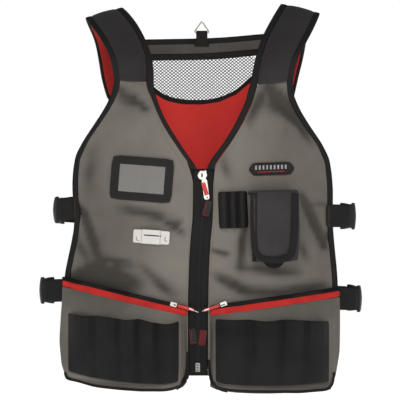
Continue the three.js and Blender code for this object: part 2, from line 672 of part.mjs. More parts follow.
function yokeBand(name, from, fromFall, to, toFall, rows, thickness, look, lift = 0) {
  const surface = (u, v) => yokePoint(u, from, fromFall, lift).lerp(yokePoint(u, to, toFall, lift), v);
  addMesh(name, sheet(surface, 12, rows, thickness), look);
}

yokeBand('yoke_binding', 'top', 0, 'top', yokeBinding, 1, bindingThickness, blackTape);
yokeBand('back_yoke', 'top', yokeBinding + gap, 'tape', -gap, 2, clothThickness, greyCloth);
yokeBand('net_top_tape', 'tape', 0, 'net', -gap, 1, bindingThickness, blackTape);
yokeBand('net_foot_binding', 'netFoot', edgeGap, 'netFoot', netBinding, 1, bindingThickness, blackTape);

// The net: square mesh with cords between the gaps
function netShare(index, count) {
  const whole = Math.floor(index / 2);
  const pitch = 1 / (count + netBar);
  return (whole + (index % 2 ? netBar : 0)) * pitch;
}
const netAcross = 2 * netColumns + 1;
const netDown = 2 * netRows + 1;
const netSurface = (u, v) => {
  const across = netShare(Math.floor(u * netAcross + 1e-6), netColumns)
    + (u * netAcross - Math.floor(u * netAcross + 1e-6))
    * (netShare(Math.floor(u * netAcross + 1e-6) + 1, netColumns)
      - netShare(Math.floor(u * netAcross + 1e-6), netColumns));
  const down = netShare(Math.floor(v * netDown + 1e-6), netRows)
    + (v * netDown - Math.floor(v * netDown + 1e-6))
    * (netShare(Math.floor(v * netDown + 1e-6) + 1, netRows) - netShare(Math.floor(v * netDown + 1e-6), netRows));
  return yokePoint(across, 'net', 0, 0).lerp(yokePoint(across, 'netFoot', 0, 0), down);
};
addMesh('back_net', sheet(netSurface, netAcross, netDown, netThickness, (i, j) => i % 2 === 0 || j % 2 === 0),
  blackNet);

// Main zip
const zipX = (drop) => along(zipLine, 'drop', 'x', drop) * halfWidth;
const zipEdge = (offset, from = zipTop, to = zipBottom) => (v) => {
  const drop = mix(from, to, v);
  return onFront(zipX(drop) + offset, heightAt(drop));
};
const tapeInner = chainWidth / 2 + gap;
const tapeOuter = zipBand / 2 - gap / 2;
addMesh('zip_tape_right', strip(zipEdge(-tapeOuter), zipEdge(-tapeInner), 16, tapeThickness), blackTape);
addMesh('zip_tape_left', strip(zipEdge(tapeInner), zipEdge(tapeOuter), 16, tapeThickness), blackTape);
const chainTop = zipTop + 0.004;
const chainFoot = zipBottom - 0.026;
addMesh('zip_chain', strip(zipEdge(-chainWidth / 2, chainTop, chainFoot), zipEdge(chainWidth / 2, chainTop,
  chainFoot), 16, chainThickness), blackPlastic);

const retainer = slab(roundedShape(8, 15, 1), 4.5);
seat(addMesh('zip_retainer', retainer, silver), zipX(0.938) / halfWidth, zipBottom - 0.0115,
  tapeThickness / 2 + gap, 0);

// Slider: a body on the chain and an arch that carries the pull
function archShape(spec, floor) {
  const shape = new THREE.Shape();
  shape.moveTo(-spec.outer, -floor);
  shape.lineTo(spec.outer, -floor);
  shape.lineTo(spec.outer, spec.reach);
  shape.absarc(0, spec.reach, spec.outer, 0, Math.PI);
  shape.lineTo(-spec.outer, -floor);
  const hole = new THREE.Path();
  hole.absarc(0, spec.reach, spec.inner, 0, Math.PI * 2, true);
  shape.holes.push(hole);
  return shape;
}

// The arch's outline lies in the plane through the zip line, standing off the body
function sliderGeometry(size, archSize) {
  const body = slab(roundedShape(size.width, size.height, 3), size.depth, 0, 3);
  const bow = new THREE.ExtrudeGeometry(archShape(archSize, 1), {
    depth: archSize.width, bevelEnabled: false, curveSegments: 8,
  });
  bow.translate(0, 0, -archSize.width / 2);
  bow.applyMatrix4(new THREE.Matrix4().makeBasis(
    new THREE.Vector3(0, 0, -1), new THREE.Vector3(0, -1, 0), new THREE.Vector3(-1, 0, 0)));
  bow.translate(0, -size.depth, 0);
  return join([body, bow]);
}
const sliderDrop = 0.4285;
const sliderLift = chainThickness / 2 + gap;
seat(addMesh('zip_slider', sliderGeometry(slider, arch), silver), zipX(sliderDrop) / halfWidth, sliderDrop,
  sliderLift, 0);

// The pull hangs in its plane from the axis through the arch
function pullShape(spec) {
  const shape = new THREE.Shape();
  const neck = 2.6;
  const headCentre = 1 - spec.head;
  const shoulder = -spec.head * 2 - 1;
  const foot = -spec.length;
  shape.absarc(0, headCentre, spec.head, -Math.PI * 0.36, Math.PI * 1.36);
  shape.lineTo(-neck, shoulder + 1.5);
  shape.lineTo(-spec.width / 2, shoulder - 2);
  shape.lineTo(-spec.width / 2, foot + 2);
  shape.lineTo(-spec.width / 2 + 2, foot);
  shape.lineTo(spec.width / 2 - 2, foot);
  shape.lineTo(spec.width / 2, foot + 2);
  shape.lineTo(spec.width / 2, shoulder - 2);
  shape.lineTo(neck, shoulder + 1.5);
  const slot = new THREE.Path();
  const half = arch.width / 2 + 1.1;
  slot.moveTo(-half, -1);
  slot.lineTo(-half, -spec.slot - 0.4);
  slot.lineTo(half, -spec.slot - 0.4);
  slot.lineTo(half, -1);
  shape.holes.push(slot);
  return shape;
}
const pullAxisLift = sliderLift + slider.depth + arch.reach;
const pullGeometry = slab(pullShape(pull), pull.thickness, -pull.thickness / 2, 5);
seat(addMesh('zip_pull', pullGeometry, silver), zipX(sliderDrop) / halfWidth, sliderDrop, pullAxisLift, pull.tilt);

// A cloth tag below the pull's end, turned with the pull
const tagGeometry = slab(roundedShape(tag.width, tag.length, 1), tag.thickness, -tag.thickness / 2, 1);
tagGeometry.translate(-tag.width / 2, 0, 0);
tagGeometry.rotateY(THREE.MathUtils.degToRad(22));
tagGeometry.translate(tag.width / 2 - 2, 0, -pull.length - tag.length / 2 - 3.6);
seat(addMesh('zip_pull_tag', tagGeometry, blackTape), zipX(sliderDrop) / halfWidth, sliderDrop, pullAxisLift,
  pull.tilt);

// Lower pockets

function trimDrop(side, distance) {
  const line = pocketLines[side];
  const t = (distance / halfWidth - line.inner) / (line.outer - line.inner);
  return mix(line.trimInner, line.trimOuter, t);
}

// Distance of the pocket's outer edge from the centre at a level
function pocketOuter(side, drop) {
  return frontEdge(side, 'side', drop) + 2;
}

// How far a filled-out pocket swells forward at a place
function pocketSwell(side, distance, drop) {
  const line = pocketLines[side];
  const fall = (drop - trimDrop(side, distance)) * bodyLength;
  const foot = (hemDrop(side, distance) - drop) * bodyLength;
  const fromSides = ramp(distance - line.inner * halfWidth, line.gussetInner)
    * ramp(pocketOuter(side, drop) - distance, line.gussetOuter);
  return pocketDepth * fromSides * mix(0.14, 1, ramp(fall, 46)) * ramp(foot + 1, footSlope);
}

function pocketPoint(side, distance, drop, forward = 0) {
  const point = onFront(sideSign(side) * distance, heightAt(drop), pocketBase);
  point.y -= pocketSwell(side, distance, drop) + forward;
  return point;
}

for (const side of ['right', 'left']) {
  const sign = sideSign(side);
  const line = pocketLines[side];

  // Places across a pocket crowd at its sloping sides
  const spread = (u) => {
    const steps = [0, 0.028, 0.058, 0.2, 0.35, 0.5, 0.65, 0.8, 0.942, 0.972, 1];
    const at = u * (steps.length - 1);
    const i = Math.min(Math.floor(at + 1e-9), steps.length - 2);
    return mix(steps[i], steps[i + 1], at - i);
  };
  const fallShare = (v) => {
    const steps = [0, 0.1, 0.2, 0.32, 0.6, 0.85, 0.93, 0.975, 1];
    const at = v * (steps.length - 1);
    const i = Math.min(Math.floor(at + 1e-9), steps.length - 2);
    return mix(steps[i], steps[i + 1], at - i);
  };
  const pocketSurface = (u, v) => {
    const rough = mix(line.inner * halfWidth, line.outer * halfWidth, spread(u));
    const top = trimDrop(side, rough) + (trimWidth + gap) / bodyLength;
    const drop = mix(top, hemDrop(side, rough) + 1.5 / bodyLength, fallShare(v));
    const distance = mix(line.inner * halfWidth, pocketOuter(side, drop), spread(u));
    return pocketPoint(side, distance, drop);
  };
  addMesh(`pocket_${side}`, sheet(pocketSurface, 10, 8, clothThickness), greyCloth);

  // Red trim and the zip above it
  const trimLine = (fall) => (u) => {
    const distance = mix(line.inner * halfWidth, pocketOuter(side, line.trimOuter), u);
    const drop = trimDrop(side, distance) + fall / bodyLength;
    return pocketPoint(side, distance, drop);
  };
  addMesh(`pocket_trim_${side}`, strip(trimLine(0), trimLine(trimWidth), 10, clothThickness), redTrim);
  addMesh(`pocket_zip_${side}`, strip(trimLine(-pocketZipWidth - gap), trimLine(-gap), 10, chainThickness),
    blackTape);

  // Tool pocket: one pleated panel, open at the top, sewn down at its sides, foot and seams
  const tool = toolPockets[side];
  const columns = tool.seams.length - 1;
  const perTube = 4;
  const toolAt = (u) => {
    const at = u * columns;
    const i = Math.min(Math.floor(at + 1e-9), columns - 1);
    return { share: mix(tool.seams[i], tool.seams[i + 1], at - i), wave: Math.sin(Math.PI * (at - i)) ** 0.8 };
  };
  const toolSurface = (u, v) => {
    const { share, wave } = toolAt(u);
    const distance = mix(tool.inner, tool.outer, share) * halfWidth;
    const foot = hemDrop(side, distance) - toolFootRise / bodyLength;
    const drop = mix(along(tool.mouth, 'at', 'drop', share), foot, v);
    const rise = mix(toolBulge, toolFoot, v) * wave * ramp(1 - v, 0.12);
    return pocketPoint(side, distance, drop, toolLift + rise);
  };
  addMesh(`tool_pocket_${side}`, sheet(toolSurface, columns * perTube, 4, clothThickness), blackTape);
}

// Pocket zip sliders, pulls and tags lie on the red trim beside the main zip
const pocketPulls = {
  right: { slider: { x: -0.186, drop: 0.7740 }, spin: -15, tagX: -0.056, tagDrop: 0.857 },
  left: { slider: { x: 0.152, drop: 0.7740 }, spin: 18, tagX: 0.011, tagDrop: 0.861 },
};
const smallSlider = { width: 12, height: 8, depth: 4 };
const smallPull = { length: 29, width: 5.4, thickness: 1.8 };
for (const side of ['right', 'left']) {
  const spec = pocketPulls[side];
  const sign = sideSign(side);
  const distance = Math.abs(spec.slider.x) * halfWidth;
  const lift = pocketBase + pocketSwell(side, distance, spec.slider.drop) + chainThickness / 2 + 0.5;
  const body = slab(roundedShape(smallSlider.width, smallSlider.height, 2), smallSlider.depth);
  seat(addMesh(`pocket_slider_${side}`, body, silver), spec.slider.x, spec.slider.drop, lift, spec.spin);
  const bar = slab(roundedShape(smallPull.length, smallPull.width, 2), smallPull.thickness);
  bar.translate(-sign * (smallPull.length / 2 + smallSlider.width / 2 + gap), 0, 0);
  seat(addMesh(`pocket_pull_${side}`, bar, redTrim), spec.slider.x, spec.slider.drop, lift, spec.spin);
  const hung = slab(roundedShape(tag.width, tag.length, 1), tag.thickness, 0, 1);
  seat(addMesh(`pocket_tag_${side}`, hung, blackTape), spec.tagX, spec.tagDrop, chainThickness / 2 + gap,
    -sign * 8);
}

// Chest fittings

// Identity card frame: a ring of vinyl with a clear window in it
const idLift = clothThickness / 2 + gap + 1.7;
const framePlace = frontPatch(idFrame, idLift);
const frameSteps = (inner, outer) => [-outer, -inner, inner, outer];
const frameSurface = (u, v) => {
  const xs = frameSteps(idFrame.width / 2 - idFrame.rim, idFrame.width / 2);
  const zs = frameSteps(idFrame.height / 2 - idFrame.rim, idFrame.height / 2);
  const pick = (list, share) => {
    const columns = [0, 0.06, 1, 1.5, 2, 2.94, 3];
    const at = share * (columns.length - 1);
    const i = Math.min(Math.floor(at + 1e-9), columns.length - 2);
    const place = mix(columns[i], columns[i + 1], at - i);
    const k = Math.min(Math.floor(place), 2);
    return mix(list[k], list[k + 1], place - k);
  };
  let right = pick(xs, u);
  let up = -pick(zs, v);
  const overX = Math.abs(right) - (idFrame.width / 2 - idFrame.corner);
  const overZ = Math.abs(up) - (idFrame.height / 2 - idFrame.corner);
  if (overX > 0 && overZ > 0) {
    const long = Math.hypot(overX, overZ);
    const shrink = Math.min(1, (Math.max(overX, overZ)) / long);
    right = Math.sign(right) * (idFrame.width / 2 - idFrame.corner + overX * shrink);
    up = Math.sign(up) * (idFrame.height / 2 - idFrame.corner + overZ * shrink);
  }
  return framePlace(right, up);
};
const inWindow = (i, j) => i >= 2 && i <= 3 && j >= 2 && j <= 3;
addMesh('id_frame', sheet(frameSurface, 6, 6, 2, (i, j) => !inWindow(i, j)), frameVinyl);
const windowPlace = frontPatch(idFrame, idLift - 0.2);
const windowHalf = { x: idFrame.width / 2 - idFrame.rim - gap, z: idFrame.height / 2 - idFrame.rim - gap };
addMesh('id_window', sheet((u, v) => windowPlace(mix(-windowHalf.x, windowHalf.x, u), mix(windowHalf.z,
  -windowHalf.z, v)), 3, 2, 1), clearWindow);

// Metal clip: two riveted ends and a raised middle that is open from side to side
const clipBase = slab(roundedShape(toolClip.width, toolClip.height, 3), toolClip.plate);
const clipRise = 5;
const clipMiddle = { width: 35, height: 23.5 };
const clipBridge = new THREE.Shape();
clipBridge.moveTo(-clipMiddle.width / 2, 0);
clipBridge.lineTo(-clipMiddle.width / 2 + 2.5, clipRise);
clipBridge.lineTo(clipMiddle.width / 2 - 2.5, clipRise);
clipBridge.lineTo(clipMiddle.width / 2, 0);
clipBridge.lineTo(clipMiddle.width / 2 - 1.8, 0);
clipBridge.lineTo(clipMiddle.width / 2 - 3.9, clipRise - toolClip.plate);
clipBridge.lineTo(-clipMiddle.width / 2 + 3.9, clipRise - toolClip.plate);
clipBridge.lineTo(-clipMiddle.width / 2 + 1.8, 0);
const bridge = new THREE.ExtrudeGeometry(clipBridge, { depth: clipMiddle.height, bevelEnabled: false });
bridge.translate(0, 0, -clipMiddle.height / 2);
bridge.applyMatrix4(new THREE.Matrix4().makeBasis(
  new THREE.Vector3(1, 0, 0), new THREE.Vector3(0, -1, 0), new THREE.Vector3(0, 0, -1)));
bridge.translate(0, -toolClip.plate / 2, 0);
const rivets = [-1, 1].map((end) => {
  const rivet = new THREE.CylinderGeometry(3, 3.4, 1.4, 12);
  return rivet.translate(end * (toolClip.width / 2 - 6), -toolClip.plate - 0.4, 0);
});
const clipLift = clothThickness / 2 + gap;
seat(addMesh('tool_clip', join([clipBase, bridge, ...rivets]), silver), toolClip.x, toolClip.drop, clipLift,
  toolClip.spin);

// Capsule badge, bare
const badgePlace = frontPatch(badge, clothThickness / 2 + gap + badge.thickness / 2);
const badgeSurface = (u, v) => {
  const right = mix(-badge.width / 2, badge.width / 2, u);
  const round = badge.height / 2;
  const past = Math.max(Math.abs(right) - (badge.width / 2 - round), 0);
  const half = Math.sqrt(Math.max(round ** 2 - past ** 2, 2));
  return badgePlace(right, mix(half, -half, v));
};
addMesh('badge', sheet(badgeSurface, 12, 2, badge.thickness), blackTape);

// Elastic band sewn down in stripes, with loops standing between them
const elasticLift = (right) => {
  const share = THREE.MathUtils.clamp(right / elastic.width + 0.5, 0, 1);
  const wave = Math.abs(Math.sin(Math.PI * elastic.loops * share));
  return clothThickness / 2 + gap + elastic.thickness / 2 + elastic.loopRise * wave ** 0.8;
};
const elasticPlace = frontPatch(elastic, elasticLift);
addMesh('elastic_band', sheet((u, v) => elasticPlace(mix(-elastic.width / 2, elastic.width / 2, u),
  mix(elastic.height / 2, -elastic.height / 2, v)), 4 * elastic.loops, 2, elastic.thickness), blackTape);

// Pouch: a hollow body open at its top, with a flap over mouth and front
const pouchSeat = clothThickness / 2 + 2 * gap;
const box = (width, depth, height, x, y, z) => new THREE.BoxGeometry(width, depth, height).translate(x, y, z);
const pouchWalls = [
  box(pouch.width, pouch.wall, pouch.height, 0, -pouch.wall / 2, 0),
  box(pouch.width, pouch.wall, pouch.height, 0, -pouch.depth + pouch.wall / 2, 0),
  box(pouch.wall, pouch.depth, pouch.height, -pouch.width / 2 + pouch.wall / 2, -pouch.depth / 2, 0),
  box(pouch.wall, pouch.depth, pouch.height, pouch.width / 2 - pouch.wall / 2, -pouch.depth / 2, 0),
  box(pouch.width, pouch.depth, pouch.wall, 0, -pouch.depth / 2, -pouch.height / 2 + pouch.wall / 2),
];
const tabShape = new THREE.Shape();
tabShape.moveTo(-20, 0);
tabShape.absarc(0, 6, 20.9, Math.PI * 1.093, Math.PI * 1.907);
tabShape.lineTo(-20, 0);
const pouchTab = slab(tabShape, 4, pouch.depth / 2 - 2, 4).translate(0, 0, -pouch.height / 2 + 2.5);
seat(addMesh('pouch_body', join([...pouchWalls, pouchTab]), blackTape), pouch.x, pouch.drop, pouchSeat, pouch.spin);

const flapProfile = [
  { y: -2, z: pouch.height / 2 + 1.8 },
  { y: -pouch.depth * 0.5, z: pouch.height / 2 + 3.4 },
  { y: -pouch.depth - 0.5, z: pouch.height / 2 + 2.4 },
  { y: -pouch.depth - 2.4, z: pouch.height / 2 - 3 },
  { y: -pouch.depth - 3.4, z: 0 },
  { y: -pouch.depth - 2.2, z: pouch.height / 2 + 3 - flap.drop },
];
const flapLine = new THREE.CatmullRomCurve3(flapProfile.map((row) => new THREE.Vector3(0, row.y, row.z)));
const flapSurface = (u, v) => {
  const point = flapLine.getPoint(v);
  const round = ramp(v - 0.86, 0.14);
  const half = flap.width / 2 - 4 * round;
  const crown = 2.4 * Math.sin(Math.PI * u) * Math.min(1, 4 * v);
  return new THREE.Vector3(mix(-half, half, u), point.y - crown, point.z + 3 * round * (2 * u - 1) ** 2);
};
seat(addMesh('pouch_flap', sheet(flapSurface, 4, 11, flap.thickness), charcoalPad), pouch.x, pouch.drop, pouchSeat,
  pouch.spin);

// Side straps, each a front and a back length of webbing and a fastened buckle
for (const spec of sideStraps) {
  const sign = sideSign(spec.side);
  const z = heightAt(spec.drop);
  const outZ = heightAt(spec.outDrop);
  const backZ = heightAt(spec.backDrop);
  const edge = frontEdge(spec.side, 'side', spec.drop);
  const behind = bindingThickness / 2 + webbingThickness / 2 + edgeGap;
  const sewnFront = (inset) => onFront(sign * (edge - inset), z, spec.over ? behind : -behind - 1);
  const rear = backEdge(spec.backDrop);
  const sewnBack = (inset) => onBack(sign * (rear - inset), backZ, behind - 0.5);
  const out = sign * spec.reach * halfWidth;
  const bow = new THREE.CatmullRomCurve3([
    sewnFront(spec.over ? 12 : 22), sewnFront(3), sewnFront(-4),
    new THREE.Vector3(mix(sewnFront(0).x, out, 0.72), -0.27 * frontDepth, mix(z, outZ, 0.7)),
    new THREE.Vector3(out, 0.02 * frontDepth, outZ),
    new THREE.Vector3(mix(sewnBack(0).x, out, 0.62), 0.4 * frontDepth, mix(backZ, outZ, 0.5)),
    sewnBack(-3), sewnBack(5), sewnBack(26),
  ]);
  const length = bow.getLength();
  const middle = 0.47 * length;
  const from = (middle - buckle.length / 2) / length;
  const to = (middle + buckle.length / 2) / length;
  const ribbon = (start, end, steps) => sheet((u, v) => {
    const point = bow.getPointAt(mix(start, end, v));
    point.z += mix(webbing / 2, -webbing / 2, u);
    return point;
  }, 1, steps, webbingThickness);
  addMesh(`strap_front_${spec.name}`, ribbon(0, from - gap / length, 6), blackTape);
  addMesh(`strap_back_${spec.name}`, ribbon(to + gap / length, 1, 8), blackTape);
  const body = (u, v) => {
    const point = bow.getPointAt(mix(from, to, v));
    const waist = 1 - 0.12 * Math.sin(Math.PI * v) ** 2;
    point.z += mix(buckle.height / 2, -buckle.height / 2, u) * waist;
    return point;
  };
  const bodyThick = (u, v) => mix(0.45, 1, Math.sin(Math.PI * u) * Math.sin(Math.PI * v) ** 0.5) * buckle.thickness;
  addMesh(`buckle_${spec.name}`, sheet(body, 4, 6, bodyThick), blackPlastic);
}

// Hang loop: webbing folded round the base bar of a triangular wire ring
const hangX = 0.006 * halfWidth;
const hangDrop = along(yokeLines, 'x', 'top', 0);
const hangBase = onBack(hangX, heightAt(hangDrop), 0);
const barRadius = ring.wire / 2;
const tunnel = barRadius + loop.clearance;
const foldOuter = tunnel + loop.fold;
const loopFoot = -loop.foot;
const loopShape = new THREE.Shape();
loopShape.moveTo(-loop.fold, loopFoot);
loopShape.lineTo(loop.fold, loopFoot);
loopShape.lineTo(foldOuter, -foldOuter);
loopShape.lineTo(foldOuter, 0);
loopShape.absarc(0, 0, foldOuter, 0, Math.PI);
loopShape.lineTo(-foldOuter, -foldOuter);
const tunnelHole = new THREE.Path();
tunnelHole.absarc(0, 0, tunnel, 0, Math.PI * 2, true);
loopShape.holes.push(tunnelHole);
const loopBody = new THREE.ExtrudeGeometry(loopShape, { depth: loop.width, bevelEnabled: false, curveSegments: 8 });
loopBody.translate(0, 0, -loop.width / 2);
loopBody.applyMatrix4(new THREE.Matrix4().makeBasis(
  new THREE.Vector3(0, 1, 0), new THREE.Vector3(0, 0, 1), new THREE.Vector3(1, 0, 0)));
const patch = box(loop.patchWidth, 2 * loop.fold, loop.patchHeight, 0, 0, loopFoot + loop.patchHeight / 2);
const hangAxis = new THREE.Vector3(hangX, hangBase.y - bindingThickness / 2 - loop.fold - edgeGap - gap,
  hangBase.z + loop.rise);
addMesh('hang_tab', join([loopBody, patch]), blackTape).position.copy(hangAxis);

// The ring: three wire bars with round corners, its base bar on the hinge axis
const ringPath = new THREE.CurvePath();
const ringCorners = [
  new THREE.Vector3(-ring.base / 2, 0, 0),
  new THREE.Vector3(ring.base / 2, 0, 0),
  new THREE.Vector3(0, 0, ring.height),
];
const bend = 2.6;
ringCorners.forEach((corner, i) => {
  const before = ringCorners[(i + 2) % 3];
  const after = ringCorners[(i + 1) % 3];
  const enter = corner.clone().addScaledVector(before.clone().sub(corner).normalize(), bend);
  const leave = corner.clone().addScaledVector(after.clone().sub(corner).normalize(), bend);
  const next = after.clone().addScaledVector(corner.clone().sub(after).normalize(), bend);
  ringPath.add(new THREE.QuadraticBezierCurve3(enter, corner, leave));
  ringPath.add(new THREE.LineCurve3(leave, next));
});

// A closed wire swept round a flat loop
function wireLoop(path, radius, steps, sides) {
  const centre = new THREE.Vector3(0, 0, ring.height / 3);
  const surface = [];
  for (let k = 0; k < steps; k += 1) {
    const point = path.getPointAt(k / steps);
    const tangent = path.getTangentAt(k / steps);
    const flat = new THREE.Vector3(0, 1, 0);
    const outward = new THREE.Vector3().crossVectors(tangent, flat).normalize();
    if (outward.dot(point.clone().sub(centre)) < 0) outward.negate();
    for (let s = 0; s < sides; s += 1) {
      const angle = (2 * Math.PI * s) / sides;
      surface.push(point.clone().addScaledVector(outward, radius * Math.cos(angle))
        .addScaledVector(flat, radius * Math.sin(angle)));
    }
  }
  const index = [];
  for (let k = 0; k < steps; k += 1) {
    for (let s = 0; s < sides; s += 1) {
      const a = k * sides + s;
      const b = k * sides + ((s + 1) % sides);
      const c = ((k + 1) % steps) * sides + s;
      const d = ((k + 1) % steps) * sides + ((s + 1) % sides);
      index.push(a, b, c, b, d, c);
    }
  }
  const geometry = new THREE.BufferGeometry();
  geometry.setAttribute('position', new THREE.Float32BufferAttribute(surface.flatMap((p) => p.toArray()), 3));
  geometry.setIndex(index);
  return geometry;
}
addMesh('hang_ring', wireLoop(ringPath, barRadius, 24, 6), silver).position.copy(hangAxis);

export default vest;
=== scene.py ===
import math
import bpy
import bmesh
import numpy as np
from mathutils import Matrix, Vector, noise
from mathutils.bvhtree import BVHTree


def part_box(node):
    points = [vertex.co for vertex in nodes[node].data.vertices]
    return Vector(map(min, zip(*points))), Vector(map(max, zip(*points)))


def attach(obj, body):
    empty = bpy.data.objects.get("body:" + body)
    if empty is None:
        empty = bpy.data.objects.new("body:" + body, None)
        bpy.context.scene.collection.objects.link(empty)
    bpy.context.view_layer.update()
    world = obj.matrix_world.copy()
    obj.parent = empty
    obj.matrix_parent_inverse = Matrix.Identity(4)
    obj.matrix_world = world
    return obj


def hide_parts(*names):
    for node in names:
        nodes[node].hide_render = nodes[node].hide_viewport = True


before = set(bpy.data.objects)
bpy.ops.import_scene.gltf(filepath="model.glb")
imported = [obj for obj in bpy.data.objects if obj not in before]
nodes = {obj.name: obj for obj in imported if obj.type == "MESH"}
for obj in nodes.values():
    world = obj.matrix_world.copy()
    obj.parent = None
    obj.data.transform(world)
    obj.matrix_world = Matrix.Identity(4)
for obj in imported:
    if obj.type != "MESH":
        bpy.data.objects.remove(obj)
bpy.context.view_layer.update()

scene = bpy.context.scene
mm = 0.001
sides = ("right", "left")

# Camera, floor and light
photo = {"x": -0.0017, "z": -0.318, "distance": 4.0, "lens": 211.4, "sensor": 36.0, "pixels": 400}
studio = {"floor": -0.76, "key": 9.0, "fill": 10.5, "top": 2.2, "back": 12, "ambient": 0.15, "white": 1.02}


def makeCamera():
    data = bpy.data.cameras.new("photoCamera")
    data.lens = photo["lens"]
    data.sensor_width = photo["sensor"]
    data.clip_end = 90
    camera = bpy.data.objects.new("photoCamera", data)
    camera.location = (photo["x"], -photo["distance"], photo["z"])
    camera.rotation_euler = (math.pi / 2, 0, 0)
    scene.collection.objects.link(camera)
    scene.camera = camera


def areaLight(name, place, aim, size, watts):
    data = bpy.data.lights.new(name, "AREA")
    data.energy = watts
    data.size = size
    lamp = bpy.data.objects.new(name, data)
    lamp.location = place
    lamp.rotation_euler = (Vector(aim) - Vector(place)).to_track_quat("-Z", "Y").to_euler()
    scene.collection.objects.link(lamp)


def makeStudio():
    world = bpy.data.worlds.new("studio")
    scene.world = world
    world.use_nodes = True
    tree = world.node_tree
    tree.nodes.clear()
    seen = tree.nodes.new("ShaderNodeBackground")
    seen.inputs["Strength"].default_value = studio["white"]
    seen.inputs["Color"].default_value = (1, 1, 1, 1)
    lit = tree.nodes.new("ShaderNodeBackground")
    lit.inputs["Strength"].default_value = studio["ambient"]
    lit.inputs["Color"].default_value = (1, 0.99, 0.975, 1)
    path = tree.nodes.new("ShaderNodeLightPath")
    mix = tree.nodes.new("ShaderNodeMixShader")
    out = tree.nodes.new("ShaderNodeOutputWorld")
    tree.links.new(path.outputs["Is Camera Ray"], mix.inputs[0])
    tree.links.new(lit.outputs[0], mix.inputs[1])
    tree.links.new(seen.outputs[0], mix.inputs[2])
    tree.links.new(mix.outputs[0], out.inputs[0])
    scene.view_settings.view_transform = "Standard"
    areaLight("keyLight", (-0.05, -1.6, 0.4), (0, 0, -0.35), 0.7, studio["key"])
    areaLight("fillLight", (0.5, -3.0, -0.1), (0, 0, -0.3), 1.2, studio["fill"])
    areaLight("topLight", (0.1, 0.2, 2.2), (0, 0, -0.3), 1.6, studio["top"])
    areaLight("backLight", (0.4, 2.8, 0.9), (0, 0, -0.3), 2.0, studio["back"])
    bm = bmesh.new()
    bmesh.ops.create_grid(bm, x_segments=1, y_segments=1, size=14)
    bmesh.ops.translate(bm, verts=bm.verts, vec=(0, 0, studio["floor"]))
    floor = finishMesh(bm, "floor", paper, smooth=False)


# Node groups, one for each effect that several materials share
def newGroup(name, inputs, outputs):
    group = bpy.data.node_groups.new(name, "ShaderNodeTree")
    for label, kind, value in inputs:
        socket = group.interface.new_socket(label, in_out="INPUT", socket_type=kind)
        if value is not None:
            socket.default_value = value
    for label, kind in outputs:
        group.interface.new_socket(label, in_out="OUTPUT", socket_type=kind)
    start = group.nodes.new("NodeGroupInput")
    end = group.nodes.new("NodeGroupOutput")
    return group, start, end


def mathNode(tree, kind, first, second=None, third=None):
    node = tree.nodes.new("ShaderNodeMath")
    node.operation = kind
    for socket, value in zip(node.inputs, (first, second, third)):
        if value is None:
            continue
        if isinstance(value, (int, float)):
            socket.default_value = value
        else:
            tree.links.new(value, socket)
    return node.outputs[0]


def mixColour(tree, share, first, second):
    node = tree.nodes.new("ShaderNodeMix")
    node.data_type = "RGBA"
    for socket, value in ((node.inputs[0], share), (node.inputs[6], first), (node.inputs[7], second)):
        if isinstance(value, (int, float, tuple)):
            socket.default_value = value
        else:
            tree.links.new(value, socket)
    return node.outputs[2]


def addNoise(tree, place, scale, detail=2.0):
    grain = tree.nodes.new("ShaderNodeTexNoise")
    grain.inputs["Scale"].default_value = scale
    grain.inputs["Detail"].default_value = detail
    tree.links.new(place, grain.inputs["Vector"])
    return grain.outputs["Fac"]


def makeWeaveGroup():
    # plain weave: threads across and down, over and under in turn
    group, start, end = newGroup("clothWeave", [("Threads", "NodeSocketFloat", 1500.0)],
                                 [("Height", "NodeSocketFloat"), ("Shade", "NodeSocketFloat")])
    coords = group.nodes.new("ShaderNodeTexCoord")
    split = group.nodes.new("ShaderNodeSeparateXYZ")
    group.links.new(coords.outputs["Object"], split.inputs[0])
    rate = mathNode(group, "MULTIPLY", start.outputs["Threads"], math.pi)
    level = mathNode(group, "SUBTRACT", split.outputs[0], mathNode(group, "MULTIPLY", split.outputs[1], 0.8))
    across = mathNode(group, "SINE", mathNode(group, "MULTIPLY", level, rate))
    down = mathNode(group, "SINE", mathNode(group, "MULTIPLY", split.outputs[2], rate))
    over = mathNode(group, "MULTIPLY", across, down)
    group.links.new(mathNode(group, "MULTIPLY_ADD", over, 0.5, 0.5), end.inputs["Height"])
    group.links.new(addNoise(group, coords.outputs["Object"], 900), end.inputs["Shade"])
    return group


def makeRibGroup():
    # woven tape: ribs along one axis with a finer thread across them
    group, start, end = newGroup("tapeRibs", [("Axis", "NodeSocketVector", (0, 0, 1)),
                                              ("Ribs", "NodeSocketFloat", 900.0)],
                                 [("Height", "NodeSocketFloat"), ("Edge", "NodeSocketFloat")])
    coords = group.nodes.new("ShaderNodeTexCoord")
    along = group.nodes.new("ShaderNodeVectorMath")
    along.operation = "DOT_PRODUCT"
    group.links.new(coords.outputs["Object"], along.inputs[0])
    group.links.new(start.outputs["Axis"], along.inputs[1])
    rate = mathNode(group, "MULTIPLY", start.outputs["Ribs"], 2 * math.pi)
    wave = mathNode(group, "SINE", mathNode(group, "MULTIPLY", along.outputs["Value"], rate))
    grain = addNoise(group, coords.outputs["Object"], 1400)
    height = mathNode(group, "MULTIPLY_ADD", wave, 0.35, mathNode(group, "MULTIPLY", grain, 0.6))
    group.links.new(height, end.inputs["Height"])
    group.links.new(mathNode(group, "MULTIPLY_ADD", wave, 0.5, 0.5), end.inputs["Edge"])
    return group


